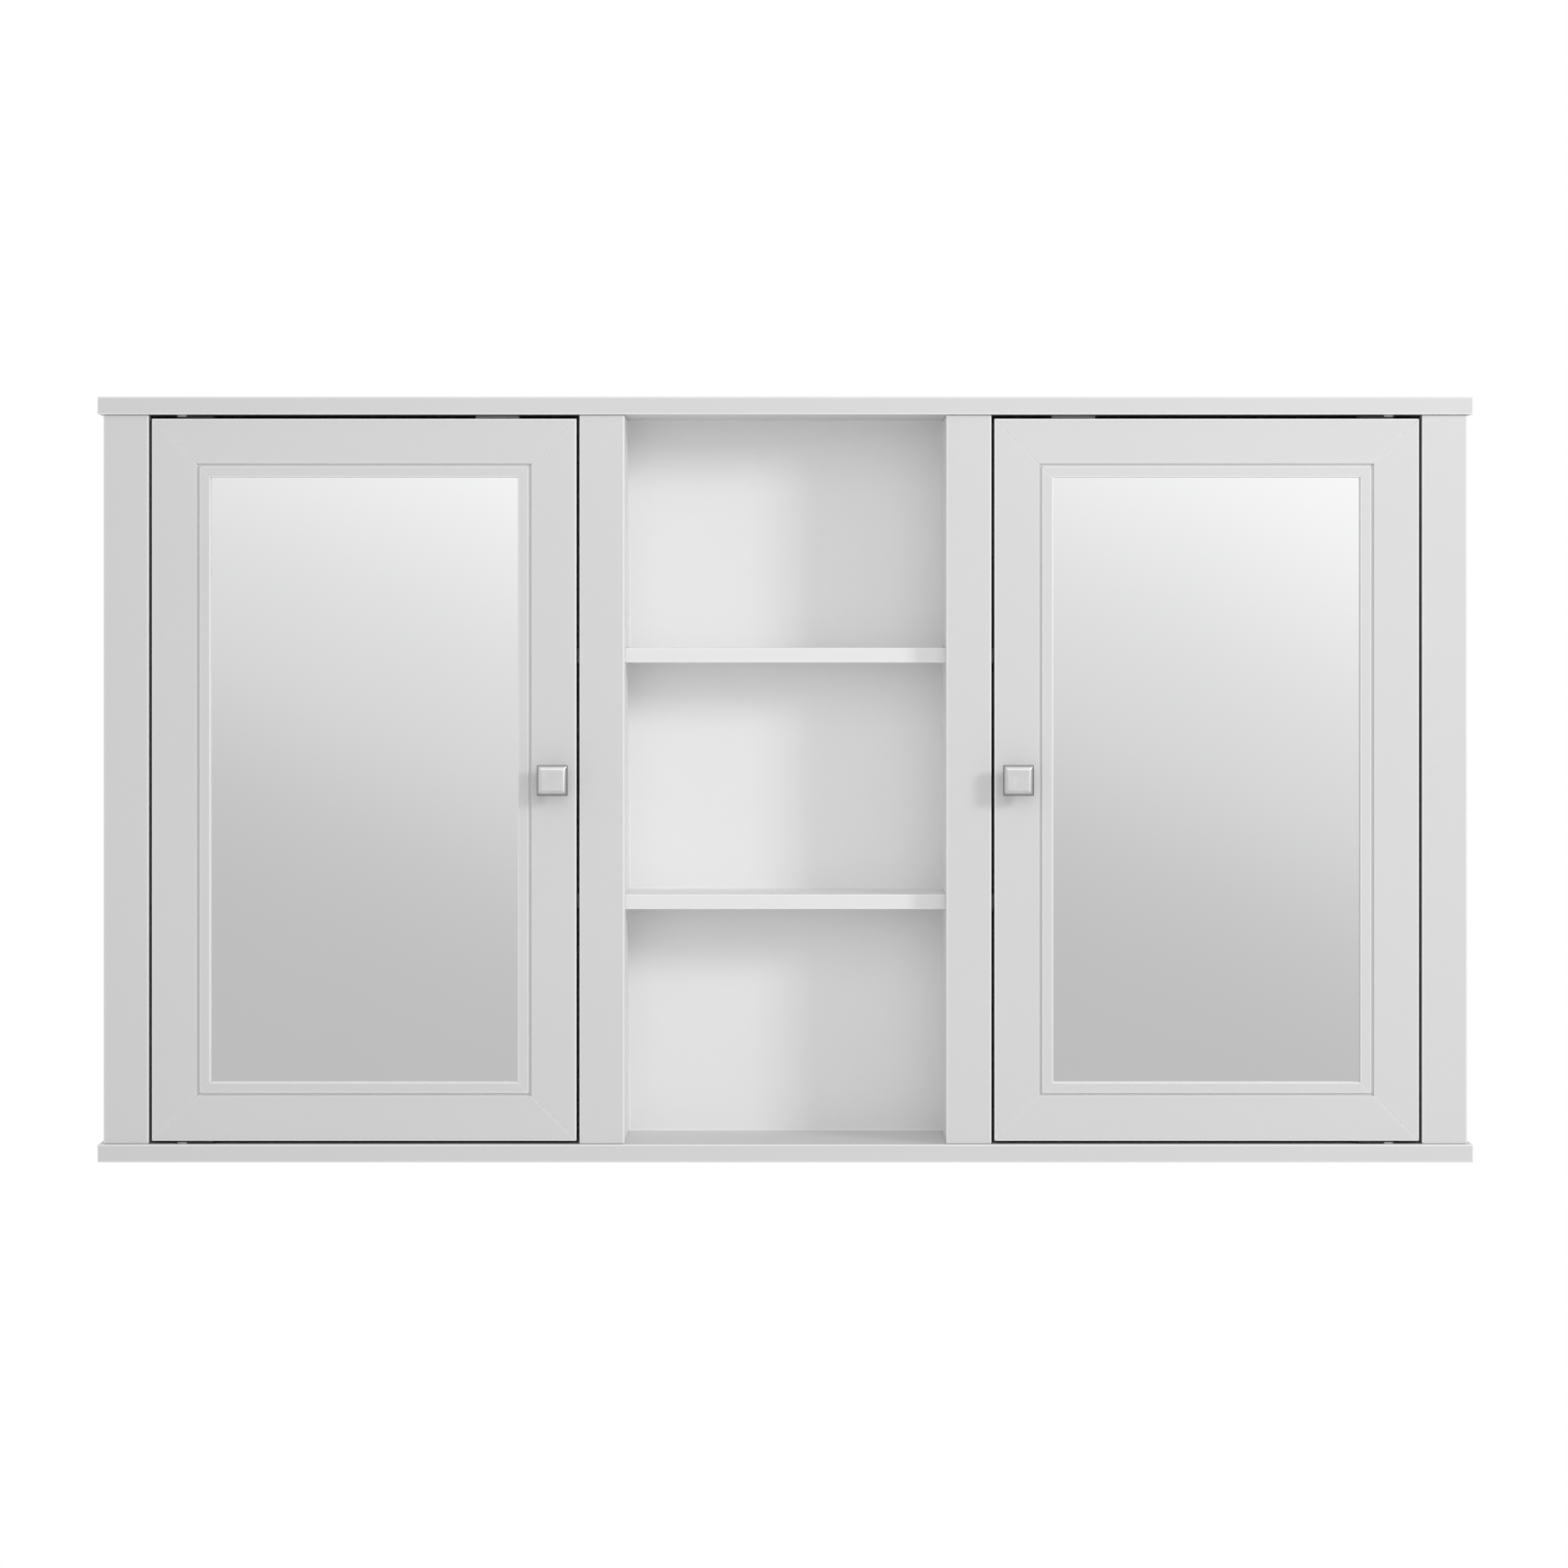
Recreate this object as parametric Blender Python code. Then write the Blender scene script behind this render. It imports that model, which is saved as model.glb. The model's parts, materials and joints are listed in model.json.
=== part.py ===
"""Hanging wall cabinet: an open centre bay with shelves between two mirrored, pivot-hung doors.

Metres, +Z up, front towards -Y. The origin is the middle of the hanging rail's back face, which
rests against the wall. "Left" and "right" are as seen from the front.
"""

import math

import bmesh
import bpy
from mathutils import Vector

# Overall sizes
WIDTH = 1.200
HEIGHT = 0.668
DEPTH = 0.150

# Carcass boards
BOARD_THICKNESS = 0.0155
PANEL_THICKNESS = 0.015
BACK_THICKNESS = 0.006
SIDE_OVERHANG = 0.0045
FRONT_OVERHANG = 0.005
RAIL_THICKNESS = 0.015
HANGING_RAIL_HEIGHT = 0.060
LOWER_RAIL_HEIGHT = 0.040
EDGE_ROUND = 0.0012

# Face frame and openings
STILE_WIDTH = 0.0394
STILE_THICKNESS = 0.018
CENTRE_OPENING = 0.281

# Shelves
SHELF_THICKNESS = 0.013
SHELVES_PER_BAY = 2
CENTRE_SHELF_SETBACK = 0.026
SWING_CLEARANCE = 0.0055
DADO_DEPTH = 0.004

# Doors
DOOR_THICKNESS = 0.018
DOOR_SIDE_GAP = 0.0027
DOOR_TOP_GAP = 0.0035
DOOR_BOTTOM_GAP = 0.0027
FLAT_WIDTH = 0.0393
FLAT_ARRIS = 0.0005
GROOVE_WIDTH = 0.0023
GROOVE_DEPTH = 0.0024
BEAD_WIDTH = 0.0096
BEAD_DROP = 0.0004
BEAD_ROUND = 0.0018
MIRROR_SETBACK = 0.006
REBATE_WIDTH = 0.008
MIRROR_THICKNESS = 0.003
BACKING_THICKNESS = 0.003
MIRROR_EDGE_PLAY = 0.001

# Knobs
KNOB_SIZE = 0.0267
KNOB_INSET = 0.0201
KNOB_PROJECTION = 0.024
KNOB_HEAD_THICKNESS = 0.009
KNOB_BEVEL_WIDTH = 0.0036
KNOB_BEVEL_DEPTH = 0.0024
KNOB_NECK_RADIUS = 0.0055
KNOB_FOOT_RADIUS = 0.0085
KNOB_FOOT_HEIGHT = 0.002
KNOB_SCREW_RADIUS = 0.002
KNOB_SCREW_REACH = 0.010
SCREW_HEAD_RADIUS = 0.0042
SCREW_HEAD_HEIGHT = 0.0024

# Pivot hinges
PIVOT_INSET = 0.026
LEAF_WIDTH = 0.012
LEAF_LENGTH = 0.035
PIN_RADIUS = 0.002
PIN_REACH = 0.008

# Magnetic catches
CATCH_FROM_LOCK_EDGE = 0.070
CATCH_LENGTH = 0.038
CATCH_EAR_THICKNESS = 0.0025
CATCH_BLOCK_LENGTH = 0.020
CATCH_DEPTH = 0.014
CATCH_DROP = 0.014
MAGNET_LENGTH = 0.013
MAGNET_HEIGHT = 0.006
MAGNET_DEPTH = 0.006
MAGNET_PROUD = 0.0006
STRIKE_LENGTH = 0.024
STRIKE_HEIGHT = 0.009
STRIKE_THICKNESS = 0.001

# Keyhole hangers
HANGER_FROM_SIDE = 0.050
HANGER_WIDTH = 0.022
HANGER_HEIGHT = 0.044
HANGER_THICKNESS = 0.0015
KEYHOLE_RADIUS = 0.005
KEYHOLE_SLOT_RADIUS = 0.0024
KEYHOLE_SLOT_RISE = 0.013
HEAD_RECESS_DEPTH = 0.0095

# Clearances
JOINT_GAP = 0.0003
BORE_GAP = 0.0003
CUT_PAST = 0.005

# Places that follow from the sizes above
INNER_TOP = HANGING_RAIL_HEIGHT / 2 + JOINT_GAP
OUTER_TOP = INNER_TOP + BOARD_THICKNESS
OUTER_BOTTOM = OUTER_TOP - HEIGHT
INNER_BOTTOM = OUTER_BOTTOM + BOARD_THICKNESS
BOARD_FRONT = -DEPTH
FRAME_FRONT = BOARD_FRONT + FRONT_OVERHANG
FRAME_BACK = FRAME_FRONT + STILE_THICKNESS
PANEL_FRONT = FRAME_BACK + JOINT_GAP
BACK_PANEL_REAR = -RAIL_THICKNESS - JOINT_GAP
BACK_PANEL_FRONT = BACK_PANEL_REAR - BACK_THICKNESS
SHELF_REAR = BACK_PANEL_FRONT - JOINT_GAP
SIDE_OUTER = WIDTH / 2 - SIDE_OVERHANG
SIDE_INNER = SIDE_OUTER - PANEL_THICKNESS
BAY_INNER = CENTRE_OPENING / 2
BAY_OUTER = BAY_INNER + PANEL_THICKNESS
DOORWAY_INNER = BAY_INNER + STILE_WIDTH
DOORWAY_OUTER = SIDE_OUTER - STILE_WIDTH
DOOR_LOCK_EDGE = DOORWAY_INNER + DOOR_SIDE_GAP
DOOR_HINGE_EDGE = DOORWAY_OUTER - DOOR_SIDE_GAP
DOOR_WIDTH = DOOR_HINGE_EDGE - DOOR_LOCK_EDGE
DOOR_TOP = INNER_TOP - DOOR_TOP_GAP
DOOR_BOTTOM = INNER_BOTTOM + DOOR_BOTTOM_GAP
DOOR_HEIGHT = DOOR_TOP - DOOR_BOTTOM
DOOR_BACK = FRAME_FRONT + DOOR_THICKNESS
STICK_WIDTH = FLAT_WIDTH + GROOVE_WIDTH + BEAD_WIDTH
MIRROR_FRONT = FRAME_FRONT + MIRROR_SETBACK + JOINT_GAP
BACKING_FRONT = MIRROR_FRONT + MIRROR_THICKNESS + JOINT_GAP
PIVOT_X = DOOR_HINGE_EDGE - PIVOT_INSET
PIVOT_Y = FRAME_FRONT + DOOR_THICKNESS / 2
KNOB_X = DOOR_LOCK_EDGE + KNOB_INSET
KNOB_Z = (DOOR_TOP + DOOR_BOTTOM) / 2
STRIP_SWING = math.hypot(PIVOT_INSET, DOOR_THICKNESS / 2)
SIDE_SHELF_SETBACK = DOOR_THICKNESS / 2 + STRIP_SWING + SWING_CLEARANCE
STRIKE_FRONT = DOOR_BACK + JOINT_GAP
STRIKE_BACK = STRIKE_FRONT + STRIKE_THICKNESS
MAGNET_FRONT = STRIKE_BACK + JOINT_GAP
CATCH_FRONT = MAGNET_FRONT + MAGNET_PROUD
CATCH_X = DOOR_LOCK_EDGE + CATCH_FROM_LOCK_EDGE
MAGNET_Z = INNER_TOP - JOINT_GAP - (CATCH_DROP + CATCH_EAR_THICKNESS) / 2
HANGER_X = SIDE_INNER - HANGER_FROM_SIDE

SIDES = (("left", -1), ("right", 1))
BACKWARDS = Vector((0, 1, 0))

# Finish: colour, roughness, metallic
WHITE_PAINT = ((0.80, 0.80, 0.795), 0.42, 0.0)
MIRROR = ((0.93, 0.94, 0.94), 0.02, 1.0)
HARDBOARD = ((0.30, 0.20, 0.12), 0.75, 0.0)
CHROME = ((0.78, 0.78, 0.79), 0.16, 1.0)
STEEL = ((0.56, 0.57, 0.58), 0.34, 1.0)
BLACK_STEEL = ((0.030, 0.030, 0.032), 0.45, 0.0)
WHITE_PLASTIC = ((0.78, 0.78, 0.77), 0.48, 0.0)
MAGNET = ((0.07, 0.07, 0.075), 0.55, 0.6)


# Helpers: materials, objects, cutters

def clear_scene():
    for obj in list(bpy.data.objects):
        bpy.data.objects.remove(obj, do_unlink=True)


def material(name, finish):
    colour, roughness, metallic = finish
    made = bpy.data.materials.new(name)
    made.use_nodes = True
    shader = made.node_tree.nodes["Principled BSDF"]
    shader.inputs["Base Color"].default_value = (*colour, 1.0)
    shader.inputs["Roughness"].default_value = roughness
    shader.inputs["Metallic"].default_value = metallic
    made.diffuse_color = (*colour, 1.0)
    return made


def mesh_from(name, shape):
    """Turns a bmesh into a mesh whose faces point outwards."""
    bmesh.ops.recalc_face_normals(shape, faces=shape.faces)
    mesh = bpy.data.meshes.new(name)
    shape.to_mesh(mesh)
    shape.free()
    return mesh


def place(name, mesh, location, parent=None):
    """Links a mesh at a world location, held by the parent empty if there is one."""
    obj = bpy.data.objects.new(name, mesh)
    bpy.context.collection.objects.link(obj)
    obj.location = Vector(location)
    if parent:
        obj.parent = parent
        obj.location -= parent.location
    return obj


def part(name, mesh, finish, location, parent=None):
    obj = place(name, mesh, location, parent)
    obj.data.materials.append(material(name + "_finish", finish))
    return obj


def box_mesh(name, size):
    shape = bmesh.new()
    bmesh.ops.create_cube(shape, size=1.0)
    bmesh.ops.scale(shape, vec=size, verts=shape.verts)
    return mesh_from(name, shape)


def middle_and_size(low, high):
    low, high = Vector(low), Vector(high)
    return (low + high) / 2, high - low


def block(name, low, high, finish, rounding=0.0, parent=None):
    """A box between two opposite corners, its edges rounded if asked."""
    middle, size = middle_and_size(low, high)
    obj = part(name, box_mesh(name, size), finish, middle, parent)
    if rounding:
        bevel = obj.modifiers.new("rounded_edges", "BEVEL")
        bevel.width = rounding
        bevel.segments = 2
    return obj


def board(name, low, high):
    return block(name, low, high, WHITE_PAINT, EDGE_ROUND)


def mirrored(side, near, far):
    """The two X values on one side of the cabinet, in rising order."""
    return sorted((side * near, side * far))


def side_board(name, side, near, far, front, rear, bottom, top):
    x_low, x_high = mirrored(side, near, far)
    return board(name, (x_low, front, bottom), (x_high, rear, top))


def helper(name, mesh, location, parent=None):
    """A cutter or an addition for a Boolean, which is no piece of the cabinet itself."""
    obj = place(name, mesh, location, parent)
    obj.hide_render = True
    obj.display_type = "WIRE"
    return obj


def combine(target, other, operation):
    change = target.modifiers.new(other.name, "BOOLEAN")
    change.operation = operation
    change.object = other


def cut_box(target, name, low, high, parent=None):
    middle, size = middle_and_size(low, high)
    combine(target, helper(name, box_mesh(name, size), middle, parent), "DIFFERENCE")


def prism_mesh(name, outline, thickness):
    """A flat XY outline extruded upwards, centred on its own middle height."""
    shape = bmesh.new()
    ring = [shape.verts.new((x, y, -thickness / 2)) for x, y in outline]
    base = shape.faces.new(ring)
    raised = bmesh.ops.extrude_face_region(shape, geom=[base])["geom"]
    moved = [item for item in raised if isinstance(item, bmesh.types.BMVert)]
    bmesh.ops.translate(shape, vec=(0, 0, thickness), verts=moved)
    return mesh_from(name, shape)


def arc(centre, radius, start, end, steps):
    """Points on a circle from one angle to another, in degrees, both ends included."""
    angles = [math.radians(start + (end - start) * i / steps) for i in range(steps + 1)]
    return [(centre[0] + radius * math.cos(a), centre[1] + radius * math.sin(a)) for a in angles]


def cylinder_mesh(name, radius, length, segments=24):
    """A cylinder along Z, centred on its origin."""
    shape = bmesh.new()
    bmesh.ops.create_cone(
        shape, cap_ends=True, segments=segments, radius1=radius, radius2=radius, depth=length
    )
    return mesh_from(name, shape)


def turned_mesh(name, profile, segments=24):
    """(radius, height) points spun about Z. The first and last points lie on the axis."""
    shape = bmesh.new()
    points = [shape.verts.new((radius, 0, height)) for radius, height in profile]
    edges = [shape.edges.new(pair) for pair in zip(points, points[1:])]
    bmesh.ops.spin(
        shape, geom=points + edges, cent=(0, 0, 0), axis=(0, 0, 1),
        angle=math.tau, steps=segments, use_merge=True,
    )
    bmesh.ops.remove_doubles(shape, verts=shape.verts, dist=0.00001)
    return mesh_from(name, shape)


def smooth_round_faces(obj):
    """Round walls shade smooth and flat faces keep their edges."""
    obj.data.shade_smooth()
    obj.data.set_sharp_from_angle(angle=math.radians(35))


def face_front(obj):
    """Turns a piece made along +Z so that it points out of the front."""
    obj.rotation_euler = (math.radians(90), 0, 0)


# Carcass

def add_boards():
    for name, bottom, top in (
        ("top_board", INNER_TOP, OUTER_TOP),
        ("bottom_board", OUTER_BOTTOM, INNER_BOTTOM),
    ):
        board(name, (-WIDTH / 2, BOARD_FRONT, bottom), (WIDTH / 2, 0, top))


def shelf_middles():
    """Heights of the shelves' mid-planes: they split the inside into equal clear spaces."""
    inside = INNER_TOP - INNER_BOTTOM
    clear = (inside - SHELVES_PER_BAY * SHELF_THICKNESS) / (SHELVES_PER_BAY + 1)
    pitch = clear + SHELF_THICKNESS
    return [INNER_BOTTOM + (i + 1) * pitch - SHELF_THICKNESS / 2 for i in range(SHELVES_PER_BAY)]


def cut_dadoes(panel, label, face, into, setback, end):
    """Stopped grooves in a panel's face at each shelf's height, running back to the given end."""
    half = SHELF_THICKNESS / 2 + JOINT_GAP
    x_low, x_high = sorted((face - math.copysign(CUT_PAST, into), face + into))
    front = FRAME_FRONT + setback - JOINT_GAP
    for number, middle in enumerate(shelf_middles(), 1):
        name = f"{label}_dado_cutter_{number}"
        cut_box(panel, name, (x_low, front, middle - half), (x_high, end, middle + half))


def add_uprights():
    bottom, top = INNER_BOTTOM + JOINT_GAP, INNER_TOP - JOINT_GAP
    for label, side in SIDES:
        panel = side_board(
            f"side_panel_{label}", side, SIDE_INNER, SIDE_OUTER, PANEL_FRONT, 0, bottom, top
        )
        end = SHELF_REAR + JOINT_GAP
        depth = side * DADO_DEPTH
        cut_dadoes(panel, f"side_{label}", side * SIDE_INNER, depth, SIDE_SHELF_SETBACK, end)
        partition = side_board(
            f"partition_{label}", side, BAY_INNER, BAY_OUTER, PANEL_FRONT, SHELF_REAR, bottom, top
        )
        end = SHELF_REAR + CUT_PAST
        face = side * BAY_OUTER
        cut_dadoes(partition, f"outer_{label}", face, -depth, SIDE_SHELF_SETBACK, end)
        face = side * BAY_INNER
        cut_dadoes(partition, f"inner_{label}", face, depth, CENTRE_SHELF_SETBACK, end)
        for place_name, near, far in (
            ("inner", BAY_INNER, DOORWAY_INNER),
            ("outer", DOORWAY_OUTER, SIDE_OUTER),
        ):
            name = f"{place_name}_stile_{label}"
            side_board(name, side, near, far, FRAME_FRONT, FRAME_BACK, bottom, top)


def add_shelves():
    seat = DADO_DEPTH - JOINT_GAP
    bays = [("centre", 1, -BAY_INNER - seat, BAY_INNER + seat, CENTRE_SHELF_SETBACK)]
    for label, side in SIDES:
        bays.append((label, side, BAY_OUTER - seat, SIDE_INNER + seat, SIDE_SHELF_SETBACK))
    for label, side, near, far, setback in bays:
        for number, middle in enumerate(shelf_middles(), 1):
            side_board(
                f"{label}_shelf_{number}", side, near, far, FRAME_FRONT + setback, SHELF_REAR,
                middle - SHELF_THICKNESS / 2, middle + SHELF_THICKNESS / 2,
            )


def keyhole_outline():
    """A round hole for the screw head with a slot above it, about the head's centre."""
    half_angle = math.degrees(math.asin(KEYHOLE_SLOT_RADIUS / KEYHOLE_RADIUS))
    start = 90 + half_angle
    hole = arc((0, 0), KEYHOLE_RADIUS, start, start + 360 - 2 * half_angle, 18)
    return hole + arc((0, KEYHOLE_SLOT_RISE), KEYHOLE_SLOT_RADIUS, 0, 180, 8)


def add_hanger(rail, label, side):
    """A keyhole plate let into the hanging rail's back, over a recess for the screw's head."""
    x = side * HANGER_X
    half_width, half_height = HANGER_WIDTH / 2, HANGER_HEIGHT / 2
    plate_rear = -JOINT_GAP
    plate_front = plate_rear - HANGER_THICKNESS
    hole_z = -KEYHOLE_SLOT_RISE / 2
    plate = block(
        f"keyhole_hanger_{label}",
        (x - half_width, plate_front, -half_height), (x + half_width, plate_rear, half_height),
        STEEL,
    )
    hole = prism_mesh("keyhole", keyhole_outline(), HANGER_THICKNESS + 2 * CUT_PAST)
    cutter = helper(f"keyhole_cutter_{label}", hole, (x, plate_rear, hole_z))
    face_front(cutter)
    combine(plate, cutter, "DIFFERENCE")
    half_width += JOINT_GAP
    half_height += JOINT_GAP
    cut_box(
        rail, f"hanger_pocket_cutter_{label}",
        (x - half_width, plate_front - JOINT_GAP, -half_height),
        (x + half_width, CUT_PAST, half_height),
    )
    cut_box(
        rail, f"head_recess_cutter_{label}",
        (x - KEYHOLE_RADIUS, plate_front - HEAD_RECESS_DEPTH, hole_z - KEYHOLE_RADIUS),
        (x + KEYHOLE_RADIUS, CUT_PAST, hole_z + KEYHOLE_SLOT_RISE + KEYHOLE_RADIUS),
    )


def add_back():
    across = SIDE_INNER - JOINT_GAP
    low, high = INNER_BOTTOM + JOINT_GAP, INNER_TOP - JOINT_GAP
    board("back_panel", (-across, BACK_PANEL_FRONT, low), (across, BACK_PANEL_REAR, high))
    board("lower_rail", (-across, -RAIL_THICKNESS, low), (across, 0, low + LOWER_RAIL_HEIGHT))
    half = HANGING_RAIL_HEIGHT / 2
    rail = board("hanging_rail", (-across, -RAIL_THICKNESS, -half), (across, 0, half))
    for label, side in SIDES:
        add_hanger(rail, label, side)


def add_catch(label, side):
    """A housing screwed under the top board, with its magnet facing the door's strike plate."""
    x = side * CATCH_X
    top = INNER_TOP - JOINT_GAP
    rear = CATCH_FRONT + CATCH_DEPTH
    half_block = CATCH_BLOCK_LENGTH / 2
    half_magnet = Vector((MAGNET_LENGTH, 0, MAGNET_HEIGHT)) / 2
    housing = block(
        f"catch_housing_{label}",
        (x - CATCH_LENGTH / 2, CATCH_FRONT, top - CATCH_EAR_THICKNESS),
        (x + CATCH_LENGTH / 2, rear, top),
        WHITE_PLASTIC,
    )
    low = Vector((x - half_block, CATCH_FRONT, top - CATCH_DROP))
    high = Vector((x + half_block, rear, top - CATCH_EAR_THICKNESS / 2))
    middle, size = middle_and_size(low, high)
    name = f"catch_block_{label}"
    combine(housing, helper(name, box_mesh(name, size), middle), "UNION")
    centre = Vector((x, MAGNET_FRONT, MAGNET_Z))
    deep = Vector((0, MAGNET_DEPTH, 0))
    play = Vector((JOINT_GAP, 0, JOINT_GAP))
    cut_box(
        housing, f"magnet_pocket_cutter_{label}",
        centre - half_magnet - play - Vector((0, CUT_PAST, 0)),
        centre + half_magnet + play + deep + Vector((0, JOINT_GAP, 0)),
    )
    name = f"catch_magnet_{label}"
    block(name, centre - half_magnet, centre + half_magnet + deep, MAGNET)


# Doors

def stick_section():
    """(inset, depth) outline of a door stick: flat, groove, bead, and a rebate behind."""
    bead_start = FLAT_WIDTH + GROOVE_WIDTH
    bead_crown = BEAD_DROP + BEAD_ROUND
    section = arc((EDGE_ROUND, EDGE_ROUND), EDGE_ROUND, 180, 270, 2)
    section += arc((FLAT_WIDTH - FLAT_ARRIS, FLAT_ARRIS), FLAT_ARRIS, 270, 360, 1)
    section += [(FLAT_WIDTH, GROOVE_DEPTH), (bead_start, GROOVE_DEPTH)]
    section += arc((bead_start + BEAD_ROUND, bead_crown), BEAD_ROUND, 180, 270, 3)
    section += arc((STICK_WIDTH - BEAD_ROUND, bead_crown), BEAD_ROUND, 270, 360, 3)
    section += [(STICK_WIDTH, MIRROR_SETBACK), (STICK_WIDTH - REBATE_WIDTH, MIRROR_SETBACK)]
    section += [(STICK_WIDTH - REBATE_WIDTH, DOOR_THICKNESS)]
    section += arc((EDGE_ROUND, DOOR_THICKNESS - EDGE_ROUND), EDGE_ROUND, 90, 180, 2)
    return section


def stick_mesh(name, length, along, inward):
    """A length of moulding whose ends are cut at 45 degrees, from its outer corner."""
    mitre_gap = JOINT_GAP / math.sqrt(2)
    section = stick_section()
    shape = bmesh.new()
    rings = []
    for from_start in (True, False):
        ring = []
        for inset, depth in section:
            run = inset + mitre_gap if from_start else length - inset - mitre_gap
            ring.append(shape.verts.new(along * run + inward * inset + BACKWARDS * depth))
        shape.faces.new(ring)
        rings.append(ring)
    start, end = rings
    for i in range(len(section)):
        j = (i + 1) % len(section)
        shape.faces.new((start[i], start[j], end[j], end[i]))
    return mesh_from(name, shape)


def add_sticks(label, side, pivot):
    """The four mitred sticks of a door frame, as a dictionary by name."""
    hinge_x, lock_x = side * DOOR_HINGE_EDGE, side * DOOR_LOCK_EDGE
    to_lock = Vector((-side, 0, 0))
    up = Vector((0, 0, 1))
    lengths = (
        ("top_rail", (hinge_x, DOOR_TOP), DOOR_WIDTH, to_lock, -up),
        ("bottom_rail", (hinge_x, DOOR_BOTTOM), DOOR_WIDTH, to_lock, up),
        ("hinge_stile", (hinge_x, DOOR_BOTTOM), DOOR_HEIGHT, up, to_lock),
        ("lock_stile", (lock_x, DOOR_BOTTOM), DOOR_HEIGHT, up, -to_lock),
    )
    sticks = {}
    for name, (x, z), length, along, inward in lengths:
        node = f"door_{label}_{name}"
        mesh = stick_mesh(node, length, along, inward)
        sticks[name] = part(node, mesh, WHITE_PAINT, (x, FRAME_FRONT, z), pivot)
    return sticks


def add_glazing(label, side, pivot):
    """The mirror and the board behind it, both held in the rebate."""
    inset = STICK_WIDTH - REBATE_WIDTH + MIRROR_EDGE_PLAY
    x_low, x_high = mirrored(side, DOOR_LOCK_EDGE + inset, DOOR_HINGE_EDGE - inset)
    bottom, top = DOOR_BOTTOM + inset, DOOR_TOP - inset
    for name, front, thickness, finish in (
        ("mirror", MIRROR_FRONT, MIRROR_THICKNESS, MIRROR),
        ("backing_board", BACKING_FRONT, BACKING_THICKNESS, HARDBOARD),
    ):
        block(
            f"door_{label}_{name}", (x_low, front, bottom), (x_high, front + thickness, top),
            finish, parent=pivot,
        )


def knob_head_mesh(name):
    """A square head along +Z from its back face, its front edges bevelled to a smaller flat."""
    shape = bmesh.new()
    bmesh.ops.create_cube(shape, size=1.0)
    straight = KNOB_HEAD_THICKNESS - KNOB_BEVEL_DEPTH
    bmesh.ops.scale(shape, vec=(KNOB_SIZE, KNOB_SIZE, straight), verts=shape.verts)
    bmesh.ops.translate(shape, vec=(0, 0, straight / 2), verts=shape.verts)
    shape.faces.ensure_lookup_table()
    front = max(shape.faces, key=lambda face: face.calc_center_median().z)
    raised = bmesh.ops.extrude_face_region(shape, geom=[front])["geom"]
    flat = [item for item in raised if isinstance(item, bmesh.types.BMVert)]
    shape.faces.remove(front)
    bmesh.ops.translate(shape, vec=(0, 0, KNOB_BEVEL_DEPTH), verts=flat)
    share = 1 - 2 * KNOB_BEVEL_WIDTH / KNOB_SIZE
    bmesh.ops.scale(shape, vec=(share, share, 1), verts=flat)
    return mesh_from(name, shape)


def add_knob(label, side, pivot, lock_stile):
    """A square knob on a round neck, with its screw through the lock stile from behind."""
    x = side * KNOB_X
    seat = FRAME_FRONT - JOINT_GAP
    neck_length = KNOB_PROJECTION - KNOB_HEAD_THICKNESS
    into_head = KNOB_HEAD_THICKNESS / 3
    neck_profile = (
        (0, 0), (KNOB_FOOT_RADIUS, 0), (KNOB_FOOT_RADIUS, KNOB_FOOT_HEIGHT / 2),
        (KNOB_NECK_RADIUS, KNOB_FOOT_HEIGHT), (KNOB_NECK_RADIUS, neck_length + into_head),
        (0, neck_length + into_head),
    )
    node = f"door_{label}_knob"
    knob = part(node, turned_mesh(node, neck_profile), CHROME, (x, seat, KNOB_Z), pivot)
    face_front(knob)
    smooth_round_faces(knob)
    name = f"knob_head_{label}"
    head = helper(name, knob_head_mesh(name), (x, seat - neck_length, KNOB_Z), pivot)
    face_front(head)
    combine(knob, head, "UNION")

    bore_radius = KNOB_SCREW_RADIUS + BORE_GAP
    bore_end = KNOB_SCREW_REACH + JOINT_GAP
    bore_length = bore_end + DOOR_THICKNESS + CUT_PAST
    name = f"knob_bore_cutter_{label}"
    bore_middle = seat - bore_end + bore_length / 2
    bore = helper(name, cylinder_mesh(name, bore_radius, bore_length), (x, bore_middle, KNOB_Z), pivot)
    face_front(bore)
    combine(knob, bore, "DIFFERENCE")
    combine(lock_stile, bore, "DIFFERENCE")

    shank = DOOR_THICKNESS + 2 * JOINT_GAP + KNOB_SCREW_REACH
    dome = SCREW_HEAD_HEIGHT / 2
    screw_profile = (
        (0, -SCREW_HEAD_HEIGHT), (SCREW_HEAD_RADIUS * 0.7, -SCREW_HEAD_HEIGHT),
        (SCREW_HEAD_RADIUS, -dome), (SCREW_HEAD_RADIUS, 0), (KNOB_SCREW_RADIUS, 0),
        (KNOB_SCREW_RADIUS, shank), (0, shank),
    )
    node = f"door_{label}_knob_screw"
    rear = DOOR_BACK + JOINT_GAP
    screw = part(node, turned_mesh(node, screw_profile), STEEL, (x, rear, KNOB_Z), pivot)
    face_front(screw)
    smooth_round_faces(screw)


def leaf_mesh(name, side, thickness):
    """A hinge leaf with round ends, one of them about the pivot, reaching towards the lock side."""
    radius = LEAF_WIDTH / 2
    reach = LEAF_LENGTH - LEAF_WIDTH
    near = arc((0, 0), radius, 90, 270, 10)
    far = arc((reach, 0), radius, -90, 90, 10)
    return prism_mesh(name, [(-side * x, y) for x, y in near + far], thickness)


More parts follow.
